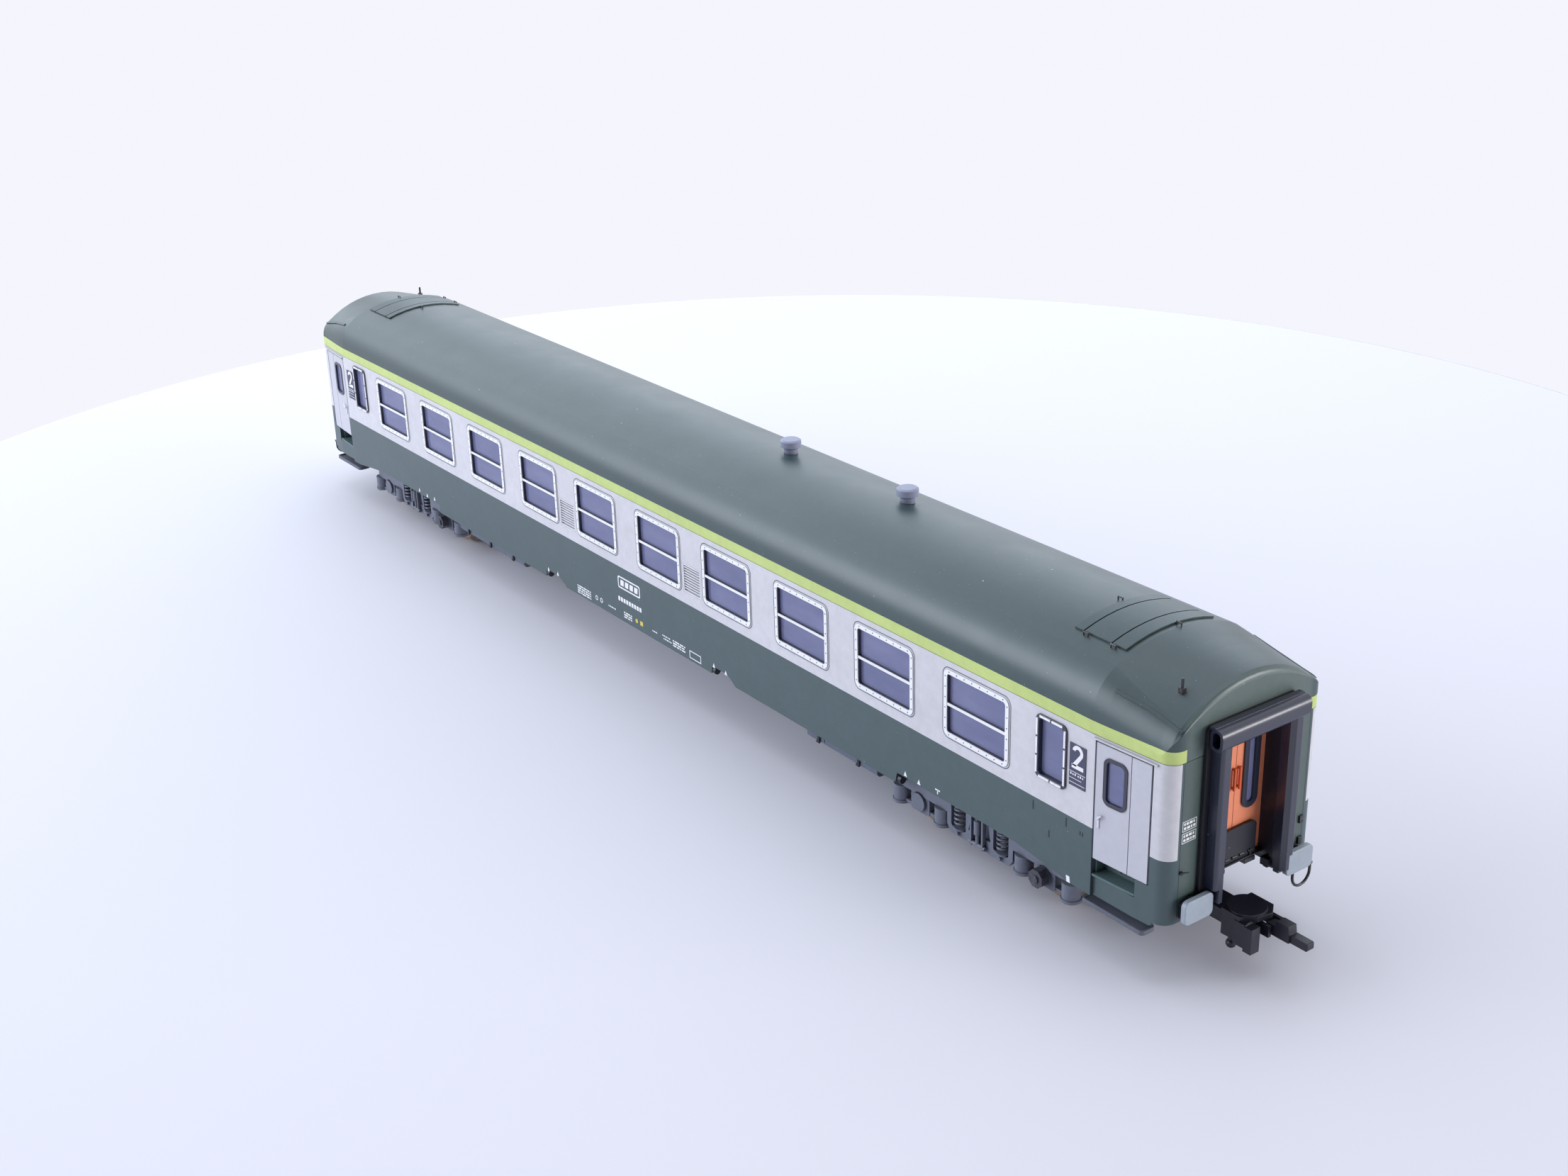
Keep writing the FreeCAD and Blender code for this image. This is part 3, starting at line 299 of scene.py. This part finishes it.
def plastic(name, color, rough, shade=0.07, grain=0.35, dust=0.0, dirt=0.25, dirt_color=DIRT_AND_SHADE,
            rub=0.0, soft=0.07, spec=0.5, metal=0.0):
    """Moulded or painted finish: uneven shade, fine grain, dirt and painted shade in corners, dust,
    rubbed edges.

    color is one colour, or a function that gives the colour by zone; soft is in millimetres.
    """
    t = Tree(name)
    base = color(t) if callable(color) else color
    for scale in (45.0, 700.0):
        # the shade moves up and down a little, in proportion to the colour
        level = t.ramp(t.noise(scale, 4.0, 0.6), 0.3, 0.7, 1.0 - shade, 1.0 + shade)
        base = t.mix(1.0, base, t.grey(level), "MULTIPLY")
    # painted shade: the hollows found by ambient occlusion are darkened, partly for dirt, partly
    # for shade
    hollow = t.crevice(0.9 * MM)
    base = t.mix(t.ramp(hollow, 0.35, 0.95, dirt, 0.0), base, dirt_color)
    if rub:
        worn = t.ramp(t.noise(1400.0, 3.0, 0.7), 0.52, 0.62, 0.0, rub)
        base = t.mix(worn, base, RUBBED)
    if dust:
        speck = t.ramp(t.cells(340.0), 0.0, 0.06, 1.0, 0.0)
        some = t.ramp(t.noise(90.0, 2.0), 0.54, 0.64)
        fleck = t.ramp(t.noise(2600.0, 2.0), 0.72, 0.78)
        base = t.mix(t.both(t.both(speck, some), dust), base, DUST)
        base = t.mix(t.both(fleck, dust * 0.3), base, FLECK)
    roughness = t.ramp(t.noise(160.0, 4.0), 0.25, 0.75, rough - 0.02, rough + 0.03)
    normal = t.bump(t.noise(2600.0, 2.0, 0.6), grain, 0.02 * MM, t.soft_edge(soft * MM))
    t.surface(Base_Color=base, Roughness=roughness, Normal=normal, Metallic=metal,
              Specular_IOR_Level=spec)
    return t.mat


def clear_glazing():
    """Clear moulding with a violet tint, so the dark interior shows through the reflections."""
    t = Tree("clear_glazing")
    smear = t.noise(60.0, 4.0, 0.6, (1.0, 1.0, 3.0))
    tint = t.mix(t.ramp(smear, 0.3, 0.7), (0.56, 0.57, 0.78), (0.64, 0.64, 0.84))
    through = t.nodes.new("ShaderNodeBsdfTransparent")
    t.put(through.inputs["Color"], tint)
    haze = t.nodes.new("ShaderNodeBsdfDiffuse")
    milk = t.mix(t.ramp(smear, 0.35, 0.7), (0.32, 0.35, 0.64), (0.43, 0.45, 0.78))
    t.put(haze.inputs["Color"], milk)
    gloss = t.nodes.new("ShaderNodeBsdfGlossy")
    t.put(gloss.inputs["Roughness"], t.ramp(smear, 0.3, 0.7, 0.03, 0.10))
    t.put(gloss.inputs["Normal"], t.bump(t.noise(90.0, 2.0), 0.10, 0.02 * MM))
    fresnel = t.nodes.new("ShaderNodeFresnel")
    fresnel.inputs["IOR"].default_value = 1.49
    body = t.nodes.new("ShaderNodeMixShader")
    body.inputs[0].default_value = 0.42
    t.links.new(through.outputs[0], body.inputs[1])
    t.links.new(haze.outputs[0], body.inputs[2])
    whole = t.nodes.new("ShaderNodeMixShader")
    t.links.new(fresnel.outputs[0], whole.inputs[0])
    t.links.new(body.outputs[0], whole.inputs[1])
    t.links.new(gloss.outputs[0], whole.inputs[2])
    t.links.new(whole.outputs[0], t.out.inputs["Surface"])
    return t.mat


def wheel_steel():
    """Brown, turned steel with a brighter running surface and painted shade in the hollows."""
    t = Tree("wheel_steel")
    turned = t.noise(260.0, 3.0, 0.6, (1.0, 12.0, 1.0))
    tread = t.ramp(t.size(t.axes()[1]), *TREAD_Y)
    color = t.mix(t.ramp(turned, 0.3, 0.7), (0.16, 0.13, 0.11), (0.30, 0.24, 0.19))
    color = t.mix(t.both(tread, 0.5), color, (0.44, 0.31, 0.19))
    # painted shade: near-black in the hollows found by ambient occlusion
    hollow = t.ramp(t.crevice(0.8 * MM), 0.3, 0.9, 0.5, 0.0)
    color = t.mix(hollow, color, (0.02, 0.02, 0.03))
    t.surface(Base_Color=color, Metallic=0.85, Roughness=t.ramp(turned, 0.3, 0.7, 0.26, 0.44),
              Normal=t.bump(turned, 0.3, 0.02 * MM, t.soft_edge(0.05 * MM)))
    return t.mat


def bright_metal():
    t = Tree("bright_metal")
    brushed = t.noise(1500.0, 3.0, 0.6, (1.0, 1.0, 0.15))
    t.surface(Base_Color=t.mix(brushed, (0.80, 0.80, 0.84), (0.93, 0.93, 0.96)), Metallic=0.35,
              Roughness=t.ramp(brushed, 0.3, 0.7, 0.22, 0.40),
              Normal=t.bump(brushed, 0.2, 0.01 * MM))
    return t.mat


MATERIALS = {"clear_glazing": clear_glazing(), "bright_metal": bright_metal(),
             "wheel_steel": wheel_steel()}


def paint(name, color, rough, **more):
    MATERIALS[name] = plastic(name, color, rough, **more)


paint("body_paint", body_colors, 0.38, shade=0.05, dust=0.5, dirt=0.35, soft=0.05, spec=0.6)
paint("roof_paint", roof_colors, 0.36, shade=0.05, grain=0.20, dust=1.0, dirt=0.40,
      dirt_color=DIRT_ON_ROOF, soft=0.12, spec=0.62)
paint("green_plastic", trim_colors, 0.38, dust=0.6, dirt=0.2)
# painted light: paler than the window band, to offset the shade between the grille slats
paint("beige_plastic", (0.66, 0.66, 0.70), 0.45, shade=0.03, dirt=0.22, dirt_color=DIRT_AND_SHADE_ON_BEIGE)
paint("white_paint", frame_colors, 0.40, shade=0.03, dirt=0.20, dirt_color=DIRT_AND_SHADE_ON_WHITE)
paint("door_paint", (0.50, 0.50, 0.56), 0.45, shade=0.03, dirt=0.30, dirt_color=DIRT_AND_SHADE_ON_BEIGE)
paint("black_rubber", (0.010, 0.013, 0.036), 0.33, shade=0.02, grain=0.2, dust=0.4, spec=0.9)
paint("dark_metal", dark_colors, 0.35, metal=0.5, rub=0.15)
paint("black_plastic", (0.012, 0.012, 0.021), 0.42, shade=0.02, grain=0.2, dust=0.3)
paint("orange_plastic", (0.78, 0.25, 0.13), 0.38, shade=0.03, dirt=0.1)
paint("red_plastic", (0.75, 0.12, 0.03), 0.35, dirt=0.1)
paint("underframe_grey", underframe_colors, 0.50, shade=0.05, rub=0.03, dust=0.5, dirt=0.45)
paint("bogie_grey", (0.135, 0.148, 0.195), 0.48, shade=0.04, rub=0.04, dust=0.4, dirt=0.5)
paint("vent_grey", (0.25, 0.27, 0.38), 0.42, rub=0.05, dirt=0.5)
paint("sign_paint", (0.055, 0.058, 0.11), 0.42, dirt=0.1)
paint("steel_screw", (0.30, 0.30, 0.31), 0.35, metal=0.9)
paint("steel_plate", (0.25, 0.25, 0.26), 0.45, metal=0.9)
paint("interior_plastic", (0.42, 0.38, 0.34), 0.55)
paint("seat_plastic", (0.20, 0.10, 0.09), 0.60)
paint("buffer_grey", (0.31, 0.36, 0.42), 0.38, shade=0.05, rub=0.12, dirt=0.35, soft=0.12)
paint("coupler_plastic", (0.014, 0.014, 0.025), 0.34, shade=0.02, grain=0.3, dust=0.3, soft=0.09)
paint("spring_steel", (0.10, 0.11, 0.15), 0.36, metal=0.3, rub=0.2, dirt=0.6)
paint("generator_plastic", (0.045, 0.045, 0.062), 0.48, rub=0.08, dust=0.5)
paint("mark_yellow", (0.60, 0.50, 0.06), 0.42, dirt=0.1)

for row in frame["record"]["subparts"]:
    mesh = NODES[row["node"]].data
    mesh.materials.clear()
    mesh.materials.append(MATERIALS[row["material_slot"]])


# ---- camera, table and light ------------------------------------------------

CAMERA_PLACE = (0.29993, -0.19450, 0.1645)
CAMERA_FORWARD = (-0.74850, 0.53529, -0.39142)
CAMERA_RIGHT = (0.59086, 0.80631, -0.02722)
FOCAL_LENGTH = 45.24
SENSOR_WIDTH = 36.0

TABLE_CENTER = (-0.0213, 0.0374)
TABLE_RADIUS = 0.237
TABLE_DEPTH = 0.012
TABLE_WHITE = (0.685, 0.68, 0.745)
CARD_BLACK = (0.03, 0.03, 0.035)
SKY = (0.913, 0.915, 0.982, 1.0)
BLUISH = (0.80, 0.91, 1.0)


def place_camera():
    camera = bpy.data.cameras.new("camera")
    camera.sensor_width = SENSOR_WIDTH
    camera.lens = FOCAL_LENGTH
    camera.clip_start = 0.01
    camera.clip_end = 20.0
    forward = Vector(CAMERA_FORWARD).normalized()
    right = Vector(CAMERA_RIGHT).normalized()
    up = right.cross(forward)
    obj = bpy.data.objects.new("camera", camera)
    turn = Matrix((right, up, -forward)).transposed().to_4x4()
    obj.matrix_world = Matrix.Translation(CAMERA_PLACE) @ turn
    bpy.context.collection.objects.link(obj)
    bpy.context.scene.camera = obj


def lathe(name, profile, center, steps=192):
    # profile (radius, height) turned about a vertical axis; its first ring is closed by a disc
    mesh = bpy.data.meshes.new(name)
    verts = []
    faces = []
    for k in range(steps):
        a = 2 * math.pi * k / steps
        verts += [(center[0] + r * math.cos(a), center[1] + r * math.sin(a), z) for r, z in profile]
    n = len(profile)
    for k in range(steps):
        j = (k + 1) % steps
        faces += [(k * n + i, j * n + i, j * n + i + 1, k * n + i + 1) for i in range(n - 1)]
    faces.append([k * n for k in range(steps)])
    mesh.from_pydata(verts, [], faces)
    mesh.update()
    return bpy.data.objects.new(name, mesh)


def floor_material(name, color):
    t = Tree(name)
    broad = t.ramp(t.noise(3.0, 3.0), 0.3, 0.7)
    t.surface(Base_Color=t.mix(broad, color, tuple(c * 0.985 for c in color)), Roughness=0.6,
              Specular_IOR_Level=0.2, Normal=t.bump(t.noise(500.0, 2.0), 0.05, 0.02 * MM))
    return t.mat


def build_stage():
    top = CAD_BOX[0][2]
    rim = [(TABLE_RADIUS - 0.0025, top), (TABLE_RADIUS - 0.0008, top - 0.0004),
           (TABLE_RADIUS, top - 0.0015), (TABLE_RADIUS, top - TABLE_DEPTH)]
    table = lathe("table_top", rim, TABLE_CENTER)
    table.data.materials.append(floor_material("table_white", TABLE_WHITE))
    bpy.context.collection.objects.link(table)
    for p in table.data.polygons:
        p.use_smooth = True
    table.data.polygons[-1].use_smooth = False


def area_light(name, position, target, size, power, color=(1, 1, 1)):
    data = bpy.data.lights.new(name, "AREA")
    data.shape = "RECTANGLE"
    data.size, data.size_y = size
    data.energy = power
    data.color = color
    obj = bpy.data.objects.new(name, data)
    obj.location = position
    aim = Vector(target) - Vector(position)
    obj.rotation_euler = aim.to_track_quat("-Z", "Y").to_euler()
    bpy.context.collection.objects.link(obj)


def build_light():
    world = bpy.data.worlds.new("studio")
    world.use_nodes = True
    background = world.node_tree.nodes["Background"]
    background.inputs["Color"].default_value = SKY
    background.inputs["Strength"].default_value = 1.0
    bpy.context.scene.world = world
    bpy.context.scene.view_settings.view_transform = "Standard"
    coach = (0, 0, 0.02)
    area_light("soft_top", (0.1, 0.1, 1.4), (0, 0, 0), (1.6, 1.2), 5.8, BLUISH)
    area_light("soft_left", (-0.9, -0.45, 0.6), coach, (1.6, 0.9), 7.2, BLUISH)
    area_light("soft_back", (-0.8, 0.7, 0.5), coach, (1.0, 0.8), 2.8, (0.72, 0.86, 1.0))
    area_light("soft_front", (-0.6, -1.15, 0.5), coach, (1.4, 0.8), 11.0, (0.85, 0.90, 1.0))
    area_light("soft_right", (1.25, 0.72, 0.22), (0.1, 0, 0.03), (0.9, 0.4), 12.0)


def build_flag():
    # dark card behind the camera, unseen by it: it deepens the corner that faces the camera
    mesh = bpy.data.meshes.new("dark_card")
    corners = [(-0.6, -0.30, 0), (0.6, -0.30, 0), (0.6, 0.60, 0), (-0.6, 0.60, 0)]
    mesh.from_pydata(corners, [], [(0, 1, 2, 3)])
    mesh.materials.append(floor_material("dark_card_black", CARD_BLACK))
    obj = bpy.data.objects.new("dark_card", mesh)
    obj.location = (0.45, -0.32, 0.32)
    obj.rotation_euler = Vector((0.75, -0.54, 0.45)).to_track_quat("Z", "Y").to_euler()
    obj.visible_camera = False
    bpy.context.collection.objects.link(obj)


place_camera()
build_stage()
build_light()
build_flag()


# ---- shapes for the small visual pieces -------------------------------------

class Shape:
    """Collects simple closed forms in millimetres and turns them into one object."""

    def __init__(self):
        self.verts = []
        self.faces = []

    def add(self, verts, faces):
        base = len(self.verts)
        self.verts += verts
        self.faces += [tuple(base + i for i in f) for f in faces]

    def slab(self, outline, place, low, high):
        # outline (u, v) swept from depth low to depth high; place(u, v, d) gives the point
        n = len(outline)
        sides = [(i, (i + 1) % n, n + (i + 1) % n, n + i) for i in range(n)]
        self.add([place(u, v, d) for d in (low, high) for u, v in outline],
                 [tuple(range(n))[::-1], tuple(range(n, 2 * n))] + sides)

    def ring(self, outer, inner, place, low, high):
        n = len(outer)
        faces = []
        for i in range(n):
            j = (i + 1) % n
            faces += [(2 * n + i, 2 * n + j, 3 * n + j, 3 * n + i), (i, n + i, n + j, j),
                      (i, j, 2 * n + j, 2 * n + i), (n + i, 3 * n + i, 3 * n + j, n + j)]
        self.add([place(u, v, d) for d in (low, high) for u, v in outer + inner], faces)

    def dome(self, u, v, radius, height, place, steps=10):
        turns = [2 * math.pi * k / steps for k in range(steps)]
        verts = []
        for slope in (0.0, 0.5, 1.0):
            r = radius * math.cos(slope)
            d = height * math.sin(slope)
            verts += [place(u + r * math.cos(a), v + r * math.sin(a), d) for a in turns]
        verts.append(place(u, v, height))
        pairs = [(k, (k + 1) % steps) for k in range(steps)]
        faces = []
        for low in (0, steps):
            high = low + steps
            faces += [(low + k, low + j, high + j, high + k) for k, j in pairs]
        faces += [(2 * steps + k, 2 * steps + j, 3 * steps) for k, j in pairs]
        self.add(verts, faces)

    def build(self, name, slot, body="coach", smooth=False):
        # every piece comes twice, the second turned half round about the vertical axis
        self.add([(-x, -y, z) for x, y, z in self.verts], self.faces)
        mesh = bpy.data.meshes.new(name)
        mesh.from_pydata([tuple(c * MM for c in v) for v in self.verts], [], self.faces)
        work = bmesh.new()
        work.from_mesh(mesh)
        bmesh.ops.recalc_face_normals(work, faces=work.faces)
        work.to_mesh(mesh)
        work.free()
        for p in mesh.polygons:
            p.use_smooth = smooth
        mesh.materials.append(MATERIALS[slot])
        obj = bpy.data.objects.new(name, mesh)
        bpy.context.collection.objects.link(obj)
        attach(obj, body)


def span(node, axis):
    low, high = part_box(node)
    return low[axis] / MM, high[axis] / MM


def rect(u0, u1, v0, v1):
    return [(u0, v0), (u1, v0), (u1, v1), (u0, v1)]


def rounded(u0, u1, v0, v1, r, steps=5):
    points = []
    corners = ((u1 - r, v0 + r, -90), (u1 - r, v1 - r, 0), (u0 + r, v1 - r, 90),
               (u0 + r, v0 + r, 180))
    for cu, cv, start in corners:
        for k in range(steps + 1):
            a = math.radians(start + 90 * k / steps)
            points.append((cu + r * math.cos(a), cv + r * math.sin(a)))
    return points


SIDE_Y = span("body_shell", 1)[0]        # outer face of the -Y side
FRAME_Y = span("window_frames", 1)[0]
END_FACE = span("body_shell", 0)[1]
PANEL_Y = span("class_panels", 1)[0]
WINDOW_X = span("window_frames", 0)[1]
WINDOW_Z0, WINDOW_Z1 = span("window_frames", 2)

WINDOWS = 10
WINDOW_WIDTH = 14.73
WINDOW_PITCH = (2 * WINDOW_X - WINDOW_WIDTH) / (WINDOWS - 1)
WINDOW_LEFTS = [-WINDOW_X + k * WINDOW_PITCH for k in range(WINDOWS)]

# depths that each kind of mark covers, from inside the surface to just proud of it
PRINT = (-0.05, 0.015)
PANEL_PRINT = (-0.03, 0.02)
# painted shade in the side slots
END_PRINT = (-0.05, 0.012)
SLOT_SHADE = (-0.05, 0.012)
SEAM = (-0.05, 0.008)
# painted shadow lines round the window frames
FRAME_SHADOW_DEPTH = (-0.16, 0.006)


def on_side(u, v, d):
    return (u, SIDE_Y - d, v)


def on_frame(u, v, d):
    return (u, FRAME_Y - d, v)


def on_panel(u, v, d):
    return (u, PANEL_Y - d, v)


def on_end(u, v, d):
    return (END_FACE + d, u, v)


def bar(shape, u0, u1, middle, half):
    # bar printed on the side, given by its middle height and half its thickness
    shape.slab(rect(u0, u1, middle - half, middle + half), on_side, *PRINT)


# ---- the pieces -------------------------------------------------------------

def window_rivets():
    inset = 0.36
    corner = 0.9
    across = 8
    upright = 6
    radius, height = 0.12, 0.05
    shape = Shape()
    for window in WINDOW_LEFTS:
        left = window + inset
        right = left + WINDOW_WIDTH - 2 * inset
        low = WINDOW_Z0 + inset
        high = WINDOW_Z1 - inset
        for i in range(across):
            u = left + corner + i * (right - left - 2 * corner) / (across - 1)
            shape.dome(u, low, radius, height, on_frame)
            shape.dome(u, high, radius, height, on_frame)
        for i in range(upright):
            v = low + corner + i * (high - low - 2 * corner) / (upright - 1)
            shape.dome(left, v, radius, height, on_frame)
            shape.dome(right, v, radius, height, on_frame)
    shape.build("frame_rivets", "dark_metal", smooth=True)


def frame_shadow_lines():
    # painted shadow: a fine dark ring on the side round each window frame, for the shadow line at
    # the frame's edge
    def around(left, gap, radius):
        return rounded(left - gap, left + WINDOW_WIDTH + gap, WINDOW_Z0 - gap, WINDOW_Z1 + gap,
                       radius)

    shape = Shape()
    for left in WINDOW_LEFTS:
        shape.ring(around(left, 0.37, 1.45), around(left, 0.26, 1.34), on_side, *FRAME_SHADOW_DEPTH)
    shape.build("frame_shadow_lines", "underframe_grey")


LIFT_MARKS = ((82.9, 12.2), (86.3, 12.1), (-31.8, 11.4), (-28.0, 11.6), (28.2, 11.5), (32.0, 11.4),
              (-90.0, 12.4), (-86.2, 12.1), (-82.6, 12.3))
DASH_BLOCKS = ((-20.2, -15.0, 4), (-2.6, 0.3, 3), (14.6, 18.8, 3))      # start, stop, rows
BLOCK_TOP = 11.7
BLOCK_STEP = 0.48
DASH_LINES = ((-8.4, -5.6, 11.2), (7.5, 9.3, 11.3), (11.0, 13.6, 11.6), (11.4, 13.9, 11.0))


def skirt_marks():
    # plain bars, dashes, triangles and frames where the real coach is lettered
    white = Shape()
    for u, v in LIFT_MARKS:
        triangle = [(u - 0.42, v - 0.45), (u + 0.42, v - 0.45), (u, v + 0.5)]
        white.slab(triangle, on_side, *PRINT)
    # a T and a leaning block towards the near end
    white.slab(rect(90.3, 91.5, 12.5, 12.75), on_side, *PRINT)
    white.slab(rect(90.78, 91.02, 11.9, 12.6), on_side, *PRINT)
    white.slab([(120.0, 11.0), (120.75, 11.0), (120.9, 9.95), (120.15, 9.95)], on_side, *PRINT)
    # a rounded frame with four leaning blocks in the middle, and nine blocks below it
    white.ring(rounded(-4.2, 3.7, 16.5, 19.0, 0.45), rounded(-3.9, 3.4, 16.8, 18.7, 0.3),
               on_side, *PRINT)
    for k in range(4):
        u = -3.35 + k * 1.65
        leaning = [(u, 17.15), (u + 1.2, 17.15), (u + 1.35, 18.35), (u + 0.15, 18.35)]
        white.slab(leaning, on_side, *PRINT)
    for k in range(9):
        u = -4.4 + k * 0.95
        white.slab(rect(u, u + 0.7, 13.7, 14.6), on_side, *PRINT)
    white.ring(rect(20.2, 24.0, 10.2, 11.75), rect(20.4, 23.8, 10.38, 11.57), on_side, *PRINT)
    # blocks and lines of uneven dashes
    for start, stop, rows in DASH_BLOCKS:
        for r in range(rows):
            u = start
            k = 0
            while u < stop - 0.3:
                w = 0.45 + 0.35 * ((k * 7 + r * 3) % 4)
                bar(white, u, min(u + w, stop), BLOCK_TOP - r * BLOCK_STEP, 0.14)
                u += w + 0.22
                k += 1
    for start, stop, v in DASH_LINES:
        u = start
        k = 0
        while u < stop:
            w = 0.25 + 0.2 * (k % 3)
            bar(white, u, u + w, v, 0.13)
            u += w + 0.16
            k += 1
    for u in (-12.8, -11.0):
        white.ring(rounded(u - 0.45, u + 0.45, 10.85, 11.85, 0.42),
                   rounded(u - 0.27, u + 0.27, 11.05, 11.65, 0.25), on_side, *PRINT)
    white.build("skirt_marks", "white_paint")
    yellow = Shape()
    yellow.slab(rounded(1.5, 2.4, 10.9, 11.8, 0.44), on_side, *PRINT)
    yellow.slab(rect(3.2, 4.2, 10.9, 11.8), on_side, *PRINT)
    yellow.build("skirt_symbols", "mark_yellow")


def class_signs():
    # a class numeral over ruled lines, on each dark panel
    bow_z = 31.9
    turns = [math.radians(a) for a in range(170, -50, -20)]

    def bow(center, radius):
        return [(center + radius * math.cos(a), bow_z + radius * math.sin(a)) for a in turns]

    white = Shape()
    for center in (-121.7, 121.7):
        outer = bow(center, 1.1)
        inner = bow(center, 0.5)
        for i in range(len(turns) - 1):
            piece = [outer[i], outer[i + 1], inner[i + 1], inner[i]]
            white.slab(piece, on_panel, *PANEL_PRINT)
        stroke = [outer[-1], inner[-1], (center - 1.15, 29.6), (center - 0.3, 29.6)]
        white.slab(stroke, on_panel, *PANEL_PRINT)
        white.slab(rect(center - 1.15, center + 1.2, 29.2, 29.85), on_panel, *PANEL_PRINT)
        for v, reach in ((28.6, 1.6), (27.55, 0.9), (26.85, 1.6)):
            rule = rect(center - 1.6, center + reach, v - 0.045, v + 0.045)
            white.slab(rule, on_panel, *PANEL_PRINT)
        for k, u in enumerate((-1.4, -0.95, -0.5, 0.1, 0.55, 1.0)):
            block = rect(center + u, center + u + 0.26, 28.05, 28.4 - 0.1 * (k % 2))
            white.slab(block, on_panel, *PANEL_PRINT)
    white.build("class_numerals", "white_paint")


def side_slot_shades():
    # painted shade: black marks on the lower panel beside the entrance, for the shaded insides of
    # the grab slots and jacking sockets
    dark = Shape()
    for u, v, half in ((112.7, 19.6, 0.75), (119.7, 19.7, 0.75), (116.2, 16.2, 0.6)):
        dark.slab(rect(u - 0.13, u + 0.13, v - half, v + half), on_side, *SLOT_SHADE)
    for u in (122.6, 123.1):
        dark.slab(rect(u - 0.12, u + 0.12, 18.8, 19.5), on_side, *SLOT_SHADE)
    dark.build("side_slot_shades", "black_plastic")


def end_marks():
    # two small outlined groups of dashes beside the gangway
    white = Shape()
    for top in (26.8, 24.9):
        white.ring(rect(-12.75, -9.95, top - 1.6, top), rect(-12.65, -10.05, top - 1.5, top - 0.1),
                   on_end, *END_PRINT)
        for r in range(2):
            v = top - 0.48 - r * 0.65
            u = -12.45
            for k in range(4):
                w = 0.3 + 0.15 * ((k + r) % 3)
                white.slab(rect(u, u + w, v - 0.2, v + 0.2), on_end, *END_PRINT)
                u += w + 0.16
    white.build("end_marks", "white_paint")


def end_seams():
    # upright joint line near each corner of the end
    dark = Shape()
    for u in (-12.95, 12.95):
        dark.slab(rect(u - 0.04, u + 0.04, 11.5, 35.9), on_end, *SEAM)
    dark.build("end_seams", "black_plastic")


window_rivets()
frame_shadow_lines()
skirt_marks()
class_signs()
side_slot_shades()
end_marks()
end_seams()
